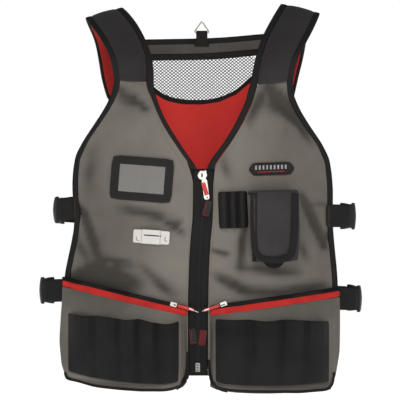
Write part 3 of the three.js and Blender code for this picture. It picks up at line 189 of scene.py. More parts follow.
def makeFadeGroup():
    # wide soft patches of lighter and darker cloth
    group, start, end = newGroup("clothFade",
                                 [("Colour", "NodeSocketColor", (0.2, 0.2, 0.2, 1)),
                                  ("Patch", "NodeSocketFloat", 14.0), ("Depth", "NodeSocketFloat", 0.25)],
                                 [("Colour", "NodeSocketColor"), ("Mask", "NodeSocketFloat")])
    coords = group.nodes.new("ShaderNodeTexCoord")
    patch = group.nodes.new("ShaderNodeTexNoise")
    patch.inputs["Detail"].default_value = 4
    group.links.new(coords.outputs["Object"], patch.inputs["Vector"])
    group.links.new(start.outputs["Patch"], patch.inputs["Scale"])
    ramp = group.nodes.new("ShaderNodeMapRange")
    ramp.inputs["From Min"].default_value = 0.35
    ramp.inputs["From Max"].default_value = 0.68
    group.links.new(patch.outputs["Fac"], ramp.inputs["Value"])
    share = mathNode(group, "MULTIPLY", ramp.outputs[0], start.outputs["Depth"])
    group.links.new(mixColour(group, share, start.outputs["Colour"], (0, 0, 0, 1)), end.inputs["Colour"])
    group.links.new(ramp.outputs[0], end.inputs["Mask"])
    return group


weaveGroup = makeWeaveGroup()
ribGroup = makeRibGroup()
fadeGroup = makeFadeGroup()
foldShadow = (0.012, 0.011, 0.010, 1)    # painted shade: the colour the cloth is painted towards at the foot of a deep fold


def linear(red, green, blue):
    def one(v):
        v /= 255
        return v / 12.92 if v <= 0.04045 else ((v + 0.055) / 1.055) ** 2.4
    return one(red), one(green), one(blue), 1


def startMaterial(name, rough, metal=0.0):
    look = bpy.data.materials.new(name)
    look.use_nodes = True
    shader = look.node_tree.nodes["Principled BSDF"]
    shader.inputs["Roughness"].default_value = rough
    shader.inputs["Metallic"].default_value = metal
    return look, look.node_tree, shader


def addBump(tree, shader, height, strength, distance):
    bump = tree.nodes.new("ShaderNodeBump")
    bump.inputs["Strength"].default_value = strength
    bump.inputs["Distance"].default_value = distance
    tree.links.new(height, bump.inputs["Height"])
    tree.links.new(bump.outputs[0], shader.inputs["Normal"])


def addFade(tree, colour, patch, depth):
    fade = tree.nodes.new("ShaderNodeGroup")
    fade.node_tree = fadeGroup
    fade.inputs["Colour"].default_value = colour
    fade.inputs["Patch"].default_value = patch
    fade.inputs["Depth"].default_value = depth
    return fade


def darkened(colour, share):
    return tuple(value * share for value in colour[:3]) + (1,)


def wovenCloth(name, colour, rough=0.85, count=1500.0, patch=14.0, depth=0.25, bump=0.35, sheen=0.0, speck=0.14,
               fold=0.0):
    look, tree, shader = startMaterial(name, rough)
    weave = tree.nodes.new("ShaderNodeGroup")
    weave.node_tree = weaveGroup
    weave.inputs["Threads"].default_value = count
    fade = addFade(tree, colour, patch, depth)
    darker = darkened(colour, 0.62)
    speckShare = mathNode(tree, "MULTIPLY", weave.outputs["Shade"], speck)
    cloth = mixColour(tree, speckShare, fade.outputs["Colour"], darker)
    # painted shade: a vertex attribute darkens the cloth's colour towards near black in creases, at the sides and
    # at pocket feet
    if fold:
        shadeMask = tree.nodes.new("ShaderNodeAttribute")
        shadeMask.attribute_name = "fold"
        shadeShare = mathNode(tree, "MULTIPLY", shadeMask.outputs["Fac"], fold)
        cloth = mixColour(tree, shadeShare, cloth, foldShadow)
    tree.links.new(cloth, shader.inputs["Base Color"])
    rougher = mathNode(tree, "MULTIPLY_ADD", fade.outputs["Mask"], 0.08, rough - 0.04)
    tree.links.new(rougher, shader.inputs["Roughness"])
    shader.inputs["Sheen Weight"].default_value = sheen
    shader.inputs["Sheen Roughness"].default_value = 0.5
    shader.inputs["Specular IOR Level"].default_value = 0.3
    addBump(tree, shader, weave.outputs["Height"], bump, 0.0003)
    return look


def wovenTape(name, colour, axis=(0, 0, 1), ribs=700.0, rough=0.75, bump=0.5, contrast=0.35):
    look, tree, shader = startMaterial(name, rough)
    rib = tree.nodes.new("ShaderNodeGroup")
    rib.node_tree = ribGroup
    rib.inputs["Axis"].default_value = axis
    rib.inputs["Ribs"].default_value = ribs
    fade = addFade(tree, colour, 30, 0.3)
    darker = darkened(colour, 0.5)
    share = mathNode(tree, "MULTIPLY", rib.outputs["Edge"], contrast)
    tree.links.new(mixColour(tree, share, fade.outputs["Colour"], darker), shader.inputs["Base Color"])
    shader.inputs["Specular IOR Level"].default_value = 0.3
    addBump(tree, shader, rib.outputs["Height"], bump, 0.0004)
    return look


def mouldedPlastic(name, colour, rough=0.42, grain=700.0, bump=0.12):
    look, tree, shader = startMaterial(name, rough)
    coords = tree.nodes.new("ShaderNodeTexCoord")
    spark = addNoise(tree, coords.outputs["Object"], grain, 3)
    fade = addFade(tree, colour, 60, 0.2)
    tree.links.new(fade.outputs["Colour"], shader.inputs["Base Color"])
    shader.inputs["Specular IOR Level"].default_value = 0.3
    tree.links.new(mathNode(tree, "MULTIPLY_ADD", spark, 0.2, rough - 0.1), shader.inputs["Roughness"])
    addBump(tree, shader, spark, bump, 0.0003)
    return look


def brightMetal(name, colour, rough=0.28, worn=0.12):
    look, tree, shader = startMaterial(name, rough, 0.55)
    coords = tree.nodes.new("ShaderNodeTexCoord")
    stretch = tree.nodes.new("ShaderNodeMapping")
    stretch.inputs["Scale"].default_value = (60, 400, 900)
    tree.links.new(coords.outputs["Object"], stretch.inputs["Vector"])
    scratch = addNoise(tree, stretch.outputs[0], 4, 5)
    dull = darkened(colour, 0.72)
    share = mathNode(tree, "MULTIPLY", scratch, worn * 2)
    tree.links.new(mixColour(tree, share, colour, dull), shader.inputs["Base Color"])
    tree.links.new(mathNode(tree, "MULTIPLY_ADD", scratch, worn, rough), shader.inputs["Roughness"])
    addBump(tree, shader, scratch, 0.1, 0.0002)
    return look


# the grey cloth carries painted shade in creases, at its sides and at pocket feet
greyCloth = wovenCloth("greyPolyester", linear(132, 126, 117), depth=0.22, patch=9, speck=0.2, fold=0.74)
yokeGrey = wovenCloth("yokeGrey", linear(88, 83, 79), depth=0.25, patch=12)
padCloth = wovenCloth("charcoalPadding", linear(47, 44, 46), rough=0.9, count=900, patch=20, depth=0.2, bump=0.5,
                      sheen=0.1)
flapCloth = wovenCloth("charcoalFlap", linear(60, 56, 58), rough=0.92, count=1100, patch=26, depth=0.15, bump=0.4,
                       sheen=0.12)
toolCloth = wovenCloth("blackPocketCloth", linear(24, 22, 22), rough=0.82, count=1200, patch=18, depth=0.25,
                       bump=0.4, sheen=0.05)
# painted light: the same red lining cloth in two shades, the back lining's copy painted brighter than the strap
# lining's, standing in for light inside the back
redCloth = wovenCloth("redLining", linear(240, 50, 43), rough=0.62, count=1900, patch=8, depth=0.14, bump=0.2,
                      sheen=0.1, speck=0.08)
strapRed = wovenCloth("strapLining", linear(189, 40, 34), rough=0.66, count=1900, patch=8, depth=0.14, bump=0.2,
                      speck=0.08)
blackTape = wovenTape("blackBinding", linear(26, 24, 23))
blackWebbing = wovenTape("blackWebbing", linear(30, 28, 27), axis=(0, 0, 1), ribs=420, bump=0.8, contrast=0.5)
blackElastic = wovenTape("blackElastic", linear(33, 31, 30), axis=(0, 0, 1), ribs=800, bump=0.6)
blackNet = wovenTape("blackNet", linear(34, 33, 33), axis=(0.7, 0, 0.7), ribs=1500, bump=0.5)
redTape = wovenTape("redTrim", linear(222, 48, 42), axis=(0.96, 0, -0.2), ribs=650, bump=0.5, contrast=0.22)
darkRedEdge = wovenTape("tagEdge", linear(150, 38, 36), ribs=900)
tagCloth = {"right": wovenTape("tagCharcoal", linear(54, 46, 46), ribs=900),
            "left": wovenTape("tagRed", linear(104, 44, 44), ribs=900)}
blackThread = wovenTape("blackThread", linear(52, 50, 50), ribs=2400, bump=0.3)
greyThread = wovenTape("greyThread", linear(120, 115, 108), ribs=2400, bump=0.3)
paleThread = wovenTape("paleThread", linear(190, 186, 182), ribs=1800, bump=0.4)
blackPlastic = mouldedPlastic("blackBuckle", linear(30, 29, 29))
zipPlastic = mouldedPlastic("zipTeeth", linear(13, 12, 13), rough=0.6)
framePlastic = mouldedPlastic("windowFrame", linear(35, 32, 31), rough=0.75, grain=500, bump=0.3)
# painted highlight: pale grey plastic for the lit ridge of the black buckle
ridgeHighlight = mouldedPlastic("buckleRidge", linear(84, 82, 81), rough=0.5)
redRubber = mouldedPlastic("redRubber", linear(214, 66, 66), rough=0.5)
silver = brightMetal("silverFitting", linear(236, 233, 226), rough=0.4)
steelWire = brightMetal("steelWire", linear(160, 157, 152), rough=0.4)
paper, paperTree, paperShader = startMaterial("paper", 0.95)
paperShader.inputs["Base Color"].default_value = (0.6, 0.6, 0.6, 1)
paperShader.inputs["Emission Color"].default_value = (1, 1, 1, 1)
paperShader.inputs["Emission Strength"].default_value = 0.92


def makeFilm():
    look, tree, shader = startMaterial("windowFilm", 0.22)
    coords = tree.nodes.new("ShaderNodeTexCoord")
    haze = addNoise(tree, coords.outputs["Object"], 26)
    share = mathNode(tree, "MULTIPLY", haze, 0.35)
    clouded = mixColour(tree, share, linear(130, 127, 123), linear(106, 104, 102))
    tree.links.new(clouded, shader.inputs["Base Color"])
    tree.links.new(mathNode(tree, "MULTIPLY_ADD", haze, 0.15, 0.2), shader.inputs["Roughness"])
    shader.inputs["Coat Weight"].default_value = 0.5
    shader.inputs["Coat Roughness"].default_value = 0.12
    addBump(tree, shader, haze, 0.08, 0.001)
    return look


windowFilm = makeFilm()
print("materials made")


# Meshes
def finishMesh(bm, name, look, smooth=True):
    mesh = bpy.data.meshes.new(name)
    bm.to_mesh(mesh)
    bm.free()
    for face in mesh.polygons:
        face.use_smooth = smooth
    mesh.materials.append(look)
    piece = bpy.data.objects.new(name, mesh)
    scene.collection.objects.link(piece)
    return piece


def copyOf(node, cuts=0, quads=True):
    # a merged copy of a CAD node with its triangles paired up again
    bm = bmesh.new()
    bm.from_mesh(nodes[node].data)
    bmesh.ops.remove_doubles(bm, verts=bm.verts, dist=2e-5)
    if quads:
        bmesh.ops.join_triangles(bm, faces=bm.faces, angle_face_threshold=math.radians(50),
                                 angle_shape_threshold=math.radians(70))
    if cuts:
        bmesh.ops.subdivide_edges(bm, edges=bm.edges, cuts=cuts, use_grid_fill=True, smooth=0)
    return bm


def subdivide(piece):
    soft = piece.modifiers.new("soft", "SUBSURF")
    soft.levels = 1
    soft.render_levels = 1
    return piece


def bevelled(piece, width, angle=35):
    edge = piece.modifiers.new("edge", "BEVEL")
    edge.width = width
    edge.segments = 2
    edge.limit_method = "ANGLE"
    edge.angle_limit = math.radians(angle)
    return piece


# Creases of the front cloth, in pixels of the photo: from, to, width, depth in mm
creases = [
    (121, 93, 148, 112, 4.5, 3.6), (118, 99, 132, 105, 5, 1.4), (76, 203, 86, 217, 4, 3.4),
    (84, 213, 98, 255, 5, 4.2), (68, 281, 104, 265, 6, 3.6), (82, 280, 132, 289, 10, 3.0),
    (102, 267, 140, 282, 8, 2.2), (104, 257, 136, 264, 4, 2.0), (122, 209, 150, 214, 6, 1.8),
    (146, 213, 168, 219, 6, 2.4), (166, 225, 182, 221, 3.5, 2.6), (170, 225, 184, 233, 3.5, 3.0),
    (156, 280, 172, 292, 7, 2.4), (141, 264, 158, 279, 5, 1.4), (78, 240, 90, 262, 6, 1.4),
    (112, 272, 122, 262, 4, 1.2), (262, 91, 247, 124, 6, 2.2), (268, 90, 292, 122, 8, 3.4),
    (290, 112, 307, 141, 7, 2.2), (262, 104, 284, 112, 11, 1.6), (221, 160, 227, 178, 6, 1.8),
    (299, 196, 322, 245, 5, 4.0), (321, 245, 328, 232, 4, 2.4), (308, 203, 328, 205, 4, 1.0),
    (243, 226, 238, 266, 5, 3.4), (238, 266, 296, 272, 6, 2.2), (212, 249, 228, 253, 3, 3.0),
    (216, 275, 246, 290, 6, 3.6), (244, 290, 282, 292, 6, 2.6), (280, 291, 322, 285, 6, 2.6),
    (298, 243, 305, 258, 5, 1.4), (95, 150, 88, 190, 9, 1.0),
]
pixel = 1.7 * mm
creaseForm = {"reach": 3, "endShare": 0.45, "gain": 1.15, "sharp": 2.8, "easy": 1.1, "cap": 5.0}
frontForm = {"crease": 1.5, "wave": 0.9 * mm, "waveSize": 0.05, "pucker": 0.5 * mm, "puckerSize": 0.016,
             "wider": 1.009, "strapRise": 4.5 * mm, "strapFrom": -0.16, "strapReach": 0.03,
             "armRise": 2.5 * mm, "armFrom": (0.13, -0.30), "armReach": (0.03, 0.04)}
pocketForm = {"wave": 0.9 * mm, "waveSize": 0.06, "pucker": 0.5 * mm, "puckerSize": 0.02, "crease": 0.35}
sleeveForm = {"wave": 0.8 * mm, "waveSize": 0.03, "pucker": 0.3 * mm, "puckerSize": 0.012}
backForm = {"wave": 1.6 * mm, "waveSize": 0.12, "pucker": 0.5 * mm, "puckerSize": 0.04, "wider": 1.012,
            "rise": 2.6 * mm, "riseFrom": -0.24, "riseReach": 0.08}
# painted shade in the cloth's colour: at the sides, in random patches, at a pocket's foot and inner gusset, and in
# creases
shadeForm = {"side": 0.33, "sideFrom": 0.06, "sideReach": 0.08, "patch": 0.16, "patchSize": 0.022,
            "foot": 0.75, "footTop": -0.612, "footReach": 0.014, "gusset": 0.4, "gussetTo": 0.040,
            "gussetReach": 0.008, "full": 2.6 * mm, "pocketShare": 0.6}


def clamped(share):
    return min(1.0, max(0.0, share))


def fromPhoto(column, row):
    return (column - 201) * pixel, photo["z"] - (row - 200) * pixel


def creaseAt(x, z):
    # how far the cloth is pressed in at a place of the front, in metres
    depth = 0.0
    for startX, startRow, endX, endRow, width, deep in creases:
        ax, az = fromPhoto(startX, startRow)
        bx, bz = fromPhoto(endX, endRow)
        dx, dz = bx - ax, bz - az
        share = ((x - ax) * dx + (z - az) * dz) / (dx * dx + dz * dz)
        held = clamped(share)
        gap = math.hypot(x - ax - held * dx, z - az - held * dz) / (width * pixel)
        if gap < creaseForm["reach"]:
            fade = creaseForm["endShare"] + (1 - creaseForm["endShare"]) * math.sin(math.pi * held)
            # a crease is sharp on one side and eases out on the other
            lean = (x - ax) * dz - (z - az) * dx
            fall = creaseForm["sharp"] if lean > 0 else creaseForm["easy"]
            depth += creaseForm["gain"] * deep * fade * math.exp(-gap * gap * fall)
    return min(depth, creaseForm["cap"]) * mm


def ripple(x, z, size, seed=0.0):
    return noise.noise(Vector((x / size, z / size, seed)))


def frontPush(v):
    # moves a point of the front cloth by its creases and small waves
    form = frontForm
    v.y += (form["crease"] * creaseAt(v.x, v.z) + form["wave"] * ripple(v.x, v.z, form["waveSize"])
            + form["pucker"] * ripple(v.x, v.z, form["puckerSize"], 4))
    v.x *= form["wider"]    # runs on under the side binding
    v.z += form["strapRise"] * clamped((v.z - form["strapFrom"]) / form["strapReach"])    # and up under the strap
    (fromX, fromZ), (reachX, reachZ) = form["armFrom"], form["armReach"]
    v.z += form["armRise"] * clamped((abs(v.x) - fromX) / reachX) * clamped((v.z - fromZ) / reachZ)


def pocketPush(v):
    form = pocketForm
    v.y += (form["wave"] * ripple(v.x, v.z, form["waveSize"], 2)
            + form["pucker"] * ripple(v.x * 0.5, v.z, form["puckerSize"], 7) + form["crease"] * creaseAt(v.x, v.z))


def sleevePush(v):
    form = sleeveForm
    v.y += (form["wave"] * ripple(v.x * 2, v.z * 0.6, form["waveSize"], 11)
            + form["pucker"] * ripple(v.x, v.z, form["puckerSize"], 13))


def backPush(v):
    form = backForm
    v.y += (form["wave"] * ripple(v.x * 1.8, v.z * 0.45, form["waveSize"], 21)
            + form["pucker"] * ripple(v.x, v.z, form["puckerSize"], 23))
    v.x *= form["wider"]    # runs on under its bindings
    v.z += form["rise"] * clamped((v.z - form["riseFrom"]) / form["riseReach"])


def softCloth(node, name, look, cuts, push):
    bm = copyOf(node, cuts)
    if push:
        for vert in bm.verts:
            push(vert.co)
    piece = finishMesh(bm, name, look)
    # painted shade for the front and pocket cloth
    if push in (frontPush, pocketPush):
        paintFoldShade(piece, 1.0 if push is frontPush else shadeForm["pocketShare"])
    subdivide(piece)
    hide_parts(node)
    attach(piece, "root")


def paintFoldShade(piece, share):
    # how deep each point lies in a crease, which the cloth's colour reads as painted shade
    mark = piece.data.attributes.new("fold", "FLOAT", "POINT")
    form = shadeForm
    for vert in piece.data.vertices:
        x, z = abs(vert.co.x), vert.co.z
        # painted shade where the cloth turns away at the sides
        shadeAmount = form["side"] * clamped((x - form["sideFrom"]) / form["sideReach"])
        # and random darker patches
        shadeAmount += form["patch"] * max(0.0, ripple(vert.co.x, z, form["patchSize"], 5))
        if share < 1:    # a pocket is painted darker at its foot and in its inner gusset, as painted shade
            shadeAmount += form["foot"] * clamped((form["footTop"] - z) / form["footReach"])
            shadeAmount += form["gusset"] * clamped((form["gussetTo"] - x) / form["gussetReach"])
        mark.data[vert.index].value = min(1.0, shadeAmount + share * creaseAt(vert.co.x, z) / form["full"])


makeCamera()
makeStudio()
print("studio made")

for side in sides:
    softCloth(f"front_panel_{side}", f"frontCloth_{side}", greyCloth, 3, frontPush)
for side in sides:
    softCloth(f"pocket_{side}", f"pocketCloth_{side}", greyCloth, 2, pocketPush)
for side in sides:
    softCloth(f"tool_pocket_{side}", f"toolSleeves_{side}", toolCloth, 2, sleevePush)
softCloth("back_panel", "backCloth", greyCloth, 3, backPush)
softCloth("back_lining", "backLining", redCloth, 3, backPush)
softCloth("back_yoke", "yokeCloth", yokeGrey, 2, None)
for side in sides:
    softCloth(f"strap_lining_{side}", f"strapLining_{side}", strapRed, 2, None)
print("cloth made")

# Bindings and tapes: folded over the edges, so their corners are round
bindings = [f"{kind}_{side}" for kind in ("neck_binding", "side_binding") for side in sides]
bindings += ["back_binding", "yoke_binding", "net_top_tape", "net_foot_binding"]


def softTape(node, look, cuts=1, fuller=2.1 * mm):
    bm = copyOf(node, 0)
    bm.normal_update()
    for vert in bm.verts:
        vert.co += vert.normal * fuller
    bmesh.ops.subdivide_edges(bm, edges=bm.edges, cuts=cuts, use_grid_fill=True)
    words = node.split("_")
    name = words[0] + "".join(word.capitalize() for word in words[1:])
    piece = subdivide(finishMesh(bm, name, look))
    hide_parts(node)
    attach(piece, "root")


for node in bindings:
    softTape(node, blackTape, fuller=1.6 * mm)
bindingEnd = {"under": -0.59, "outside": 0.0175}    # the left side binding's end stays behind the pocket
for vert in bpy.data.objects["sideBindingLeft"].data.vertices:
    if vert.co.z < bindingEnd["under"]:
        vert.co.x = max(vert.co.x, bindingEnd["outside"])
strapGap = {"reach": 0.016, "rise": 6.0 * mm}
ends = bpy.data.objects["backBinding"].data.vertices
top = max(vert.co.z for vert in ends)
for vert in ends:    # its two ends run on to the padded straps
    vert.co.z += strapGap["rise"] * clamped(1 - (top - vert.co.z) / strapGap["reach"])
for side in sides:
    zipTape = wovenTape(f"zipTape_{side}", linear(20, 19, 19), axis=(1, 0, 0), ribs=520)
    softTape(f"zip_tape_{side}", zipTape, fuller=1.9 * mm)
    softTape(f"pocket_trim_{side}", redTape, fuller=1.2 * mm)
    softTape(f"pocket_zip_{side}", blackTape, fuller=1.4 * mm)
print("bindings made")

# Padded shoulder straps, swelled by a short cloth simulation
padding = {"fuller": 1.5 * mm, "pressure": 4.0, "frames": 20, "cap": 2.6 * mm}


def swell(piece, settings):
    start = [v.co.copy() for v in piece.data.vertices]
    cloth = piece.modifiers.new("fill", "CLOTH")
    cloth.settings.use_pressure = True
    cloth.settings.uniform_pressure_force = settings["pressure"]
    cloth.settings.effector_weights.gravity = 0
    for number in range(1, settings["frames"] + 1):
        scene.frame_set(number)
    applyModifiers(piece)
    scene.frame_set(1)
    for vert, old in zip(piece.data.vertices, start):
        move = vert.co - old
        if move.length > settings["cap"]:
            vert.co = old + move.normalized() * settings["cap"]


def applyModifiers(piece):
    graph = bpy.context.evaluated_depsgraph_get()
    mesh = bpy.data.meshes.new_from_object(piece.evaluated_get(graph))
    piece.modifiers.clear()
    old = piece.data
    piece.data = mesh
    bpy.data.meshes.remove(old)


# The top of each strap is a nearly straight line in the photo: its two ends, and how much of the crown is kept
strapTops = {"right": ((86, 18), (122, 8)), "left": ((281.5, 4.5), (319, 14))}
crown = 0.3

for side in sides:
    bm = copyOf(f"shoulder_pad_{side}", 2)
    bm.normal_update()
    (x0, z0), (x1, z1) = (fromPhoto(*end) for end in strapTops[side])
    for vert in bm.verts:
        over = vert.co.z - z0 - (z1 - z0) * (vert.co.x - x0) / (x1 - x0)
        vert.co.z -= (1 - crown) * max(0.0, over)
        vert.co += vert.normal * padding["fuller"]
    pad = finishMesh(bm, f"paddedStrap_{side}", padCloth)
    swell(pad, padding)
    for face in pad.data.polygons:
        face.use_smooth = True
    subdivide(pad)
    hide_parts(f"shoulder_pad_{side}")
    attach(pad, "root")
print("padding made")

# Net of the back yoke: diamond mesh that lies on the CAD net's own surface; its foot is given
# across in shares of the half width, and down in shares of the body length
vest = {"length": 0.634, "halfWidth": 0.236}
net = {"across": 6.6 * mm, "down": 5.4 * mm, "cord": 1.75 * mm, "reach": 0.101, "flare": 0.25, "flareFrom": -0.10,
       "underTape": 8 * mm, "topSlope": 0.05, "overTop": 6 * mm, "overFoot": 3 * mm,
       "foot": [(-0.52, 0.150), (-0.44, 0.169), (-0.355, 0.1905), (-0.23, 0.2167), (0, 0.2249),
                (0.155, 0.2153), (0.288, 0.1905), (0.37, 0.1603), (0.52, 0.130)]}


def fitSurface(node):
    # smooth depth of a node over its width and height
    points = np.array([tuple(v.co) for v in nodes[node].data.vertices])
    x, y, z = points.T
    terms = np.stack([np.ones_like(x), x * x, z, z * z, x * x * z], axis=1)
    solved = np.linalg.lstsq(terms, y, rcond=None)[0]
    return lambda px, pz: float(np.dot((1, px * px, pz, pz * pz, px * px * pz), solved))


def stepAlong(table, at):
    for (x0, v0), (x1, v1) in zip(table, table[1:]):
        if at <= x1:
            return v0 + (v1 - v0) * max(0.0, (at - x0) / (x1 - x0))
    return table[-1][1]


def makeNet():
    low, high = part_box("back_net")
    depthAt = fitSurface("back_net")
    topLow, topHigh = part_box("net_top_tape")
    bm = bmesh.new()
    count = int((high[0] - low[0]) / net["across"]) + 8
    bmesh.ops.create_grid(bm, x_segments=count, y_segments=count, size=count / 2)
    turn = Matrix.Rotation(math.pi / 4, 4, "Z")
    bmesh.ops.transform(bm, matrix=turn, verts=bm.verts)
    half = math.sqrt(0.5)
    middleX = (low[0] + high[0]) / 2
    middleZ = (low[2] + high[2]) / 2
    for vert in bm.verts:
        x = vert.co.x * half * net["across"] + middleX
        z = vert.co.y * half * net["down"] + middleZ
        vert.co = (x, 0, z)
    away = []
    for face in bm.faces:
        c = face.calc_center_median()
        foot = -vest["length"] * stepAlong(net["foot"], c.x / vest["halfWidth"])
        top = (topLow[2] + topHigh[2]) / 2 - net["underTape"] + net["topSlope"] * c.x
        edge = net["reach"] + net["flare"] * max(0.0, c.z - net["flareFrom"])
        if not (foot - net["overFoot"] < c.z < top + net["overTop"]) or abs(c.x - middleX) > edge:
            away.append(face)
    bmesh.ops.delete(bm, geom=away, context="FACES")
    for vert in bm.verts:
        vert.co.y = depthAt(vert.co.x, vert.co.z)
    piece = finishMesh(bm, "yokeNet", blackNet)
    wire = piece.modifiers.new("cords", "WIREFRAME")
    wire.thickness = net["cord"]
    wire.use_even_offset = False
    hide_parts("back_net")
    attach(piece, "root")


makeNet()
print("net made")

# Places on the dressed part, found through a pixel of the photo
trees = {}


def treeOf(name):
    if name not in trees:
        graph = bpy.context.evaluated_depsgraph_get()
        trees[name] = BVHTree.FromObject(bpy.data.objects[name], graph)
    return trees[name]


def sight(column, row):
    step = photo["sensor"] / photo["lens"] / photo["pixels"]
    return scene.camera.location.copy(), Vector(((column - 200) * step, 1, (200 - row) * step)).normalized()


def photoHit(column, row, targets):
    start, way = sight(column, row)
    best = None
    for name in targets:
        point, normal, _, reach = treeOf(name).ray_cast(start, way)
        if point and (best is None or reach < best[2]):
            best = (point, normal if normal.y < 0 else -normal, reach)
    return best and best[:2]


def pathOn(corners, targets, closed=False, spacing=1.0, rise=0):
    # points and normals along a pixel path, each looked for up to so many pixels higher
    ring = corners + corners[:1] if closed else corners
    found = []
    for (c0, r0), (c1, r1) in zip(ring, ring[1:]):
        count = max(1, int(math.hypot(c1 - c0, r1 - r0) / spacing))
        for number in range(count):
            share = number / count
            column, row = c0 + (c1 - c0) * share, r0 + (r1 - r0) * share
            tries = [photoHit(column, row - up, targets) for up in range(rise + 1)]
            found += [hit for hit in tries if hit][:1]
    hit = photoHit(*ring[-1], targets)
    if hit:
        found.append(hit)
    return found


leastStep = 1.5 * mm
easingRounds = 3
longestSpan = 40 * mm    # no stitch bridges a wider gap


def smoothPath(path):
    # front-facing normals, no steps backwards, and each point eased towards its neighbours
    kept = [path[0]]
    for point, normal in path[1:]:
        step = point - kept[-1][0]
        onward = len(kept) < 2 or step.dot(kept[-1][0] - kept[-2][0]) > 0
        if step.length > leastStep and onward:
            kept.append((point, normal))
    places = [point for point, normal in kept]
    for _ in range(easingRounds):
        middle = [(a + 2 * b + c) / 4 for a, b, c in zip(places, places[1:], places[2:])]
        places = [places[0]] + middle + [places[-1]]
    return [(place, Vector((0, -1, 0))) for place in places]


def evenly(path, pitch):
    # the same path again in steps of one length
    out, walked, due = [], 0.0, pitch / 2
    for (p0, n0), (p1, n1) in zip(path, path[1:]):
        span = (p1 - p0).length
        if span < 1e-7 or span > longestSpan:
            continue
        while due <= walked + span:
            share = (due - walked) / span
            out.append((p0.lerp(p1, share), n0.lerp(n1, share).normalized(), (p1 - p0).normalized()))
            due += pitch
        walked += span
    return out


def frameAt(point, normal, along):
    side = along.cross(normal).normalized()
    up = side.cross(along).normalized()
    return Matrix.Translation(point) @ Matrix((side, along, up)).transposed().to_4x4()


def dressWith(piece, body, node=None):
    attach(piece, body)
    if node:
        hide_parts(node)
    return piece


stitch = {"pitch": 3.4 * mm, "length": 2.4 * mm, "thick": 0.32 * mm, "lift": 0.12 * mm}


def stitches(name, corners, targets, look, closed=False):
    bm = bmesh.new()
    for point, normal, along in evenly(pathOn(corners, targets, closed), stitch["pitch"]):
        place = frameAt(point + normal * stitch["lift"], normal, along) @ Matrix.Rotation(math.pi / 2, 4, "X")
        bmesh.ops.create_cone(bm, cap_ends=True, segments=6, radius1=stitch["thick"], radius2=0.8 * stitch["thick"],
                              depth=stitch["length"], matrix=place)
    dressWith(finishMesh(bm, name, look), "root")


def band(name, path, width, thick, look, body="root", slot="black_tape", lift=0.1, level=0.0, taper=1.0):
    # a flat strip that follows a path; sizes in mm, level moves it sideways and taper narrows its end
    bm = bmesh.new()
    edge, count = None, len(path)
    for number, (point, normal) in enumerate(path):
        before = path[max(0, number - 1)][0]
        after = path[min(count - 1, number + 1)][0]
        along = (after - before).normalized()
        side = along.cross(normal).normalized()
        share = number / max(1, count - 1)
        half = width * mm / 2 * (1 + (taper - 1) * share)
        centre = point + normal * lift * mm + side * level * mm
        if edge is None:
            edge = bm.edges.new((bm.verts.new(centre - side * half), bm.verts.new(centre + side * half)))
            first = edge.verts[0]
        else:
            made = bmesh.ops.extrude_edge_only(bm, edges=[edge])["geom"]
            edge = next(g for g in made if isinstance(g, bmesh.types.BMEdge))
            pair = sorted(edge.verts, key=lambda v: (v.co - first.co).length)
            pair[0].co, pair[1].co = centre - side * half, centre + side * half
            first = pair[0]
    bmesh.ops.recalc_face_normals(bm, faces=bm.faces)
    middle = path[count // 2]
    bm.normal_update()
    if sum(face.normal.dot(middle[1]) for face in bm.faces) < 0:
        bmesh.ops.reverse_faces(bm, faces=bm.faces)
    piece = finishMesh(bm, name, look)
    wall = piece.modifiers.new("wall", "SOLIDIFY")
    wall.thickness = thick * mm
    wall.offset = 1
    bevelled(piece, min(0.35 * thick, 0.4) * mm)
    dressWith(piece, body)


# painted shade: thin black strips laid in holes, eyes, grooves, slots and beside hooks, where there is only shade
shadeStrip = {"look": zipPlastic, "slot": "black_plastic"}


def strip(name, corners, targets, spacing, width, thick, look, **extra):
    # a narrow band along a short pixel path
    band(name, pathOn(corners, targets, spacing=spacing), width, thick, look, **extra)


def stripLine(node, axis, count):
    # the middle of a long narrow node: points on its front along one axis
    points = np.array([tuple(v.co) for v in nodes[node].data.vertices])
    low, high = points[:, axis].min(), points[:, axis].max()
    marks = np.linspace(low, high, count)
    reach = (high - low) / count * 0.9
    line = []
    for mark in marks:
        near = points[np.abs(points[:, axis] - mark) < reach]
        if len(near) < 2:
            continue
        place = near.mean(axis=0)
        place[axis] = mark
        place[1] = near[:, 1].min()
        line.append((Vector(place), Vector((0.0, -1.0, 0.0))))
    return line


def zipTeeth(name, path, pitch, tooth, offset, sink):
    # two rows of small teeth that reach past each other
    bm = bmesh.new()
    for number, (point, normal, along) in enumerate(evenly(path, pitch * mm)):
        turn = 1 if number % 2 else -1
        place = frameAt(point - normal * sink * mm, normal, along)
        shift = Matrix.Translation((turn * offset * mm, 0, 0))
        size = Matrix.Diagonal((tooth[0] * mm, tooth[1] * mm, tooth[2] * mm, 1))
        bmesh.ops.create_cube(bm, size=1, matrix=place @ shift @ size)
    dressWith(finishMesh(bm, name, zipPlastic, smooth=False), "root")


# Zips: two rows of moulded teeth on a woven tape, and a facing behind the main zip
mainZip = {"pitch": 1.35, "tooth": (4.0, 0.95, 1.6), "offset": 1.0, "sink": 0.2}
pocketZip = {"pitch": 1.0, "tooth": (2.6, 0.75, 1.3), "offset": 0.7, "sink": 0.2}
facing = {"width": 52, "thick": 1.0, "lift": -6.2, "under": 14 * mm, "over": 4.5 * mm}
chainPath = stripLine("zip_chain", 2, 14)
zipTeeth("zipTeeth", chainPath, **mainZip)
nodes["zip_chain"].data.materials.clear()
nodes["zip_chain"].data.materials.append(zipPlastic)
facingPath = [(point.copy(), normal) for point, normal in chainPath]
facingPath[0][0].z -= facing["under"]
facingPath[-1][0].z += facing["over"]
band("zipFacing", facingPath, facing["width"], facing["thick"], blackTape, lift=facing["lift"])
for side in sides:
    zipTeeth(f"pocketTeeth_{side}", stripLine(f"pocket_zip_{side}", 0, 14), **pocketZip)
print("zips made")


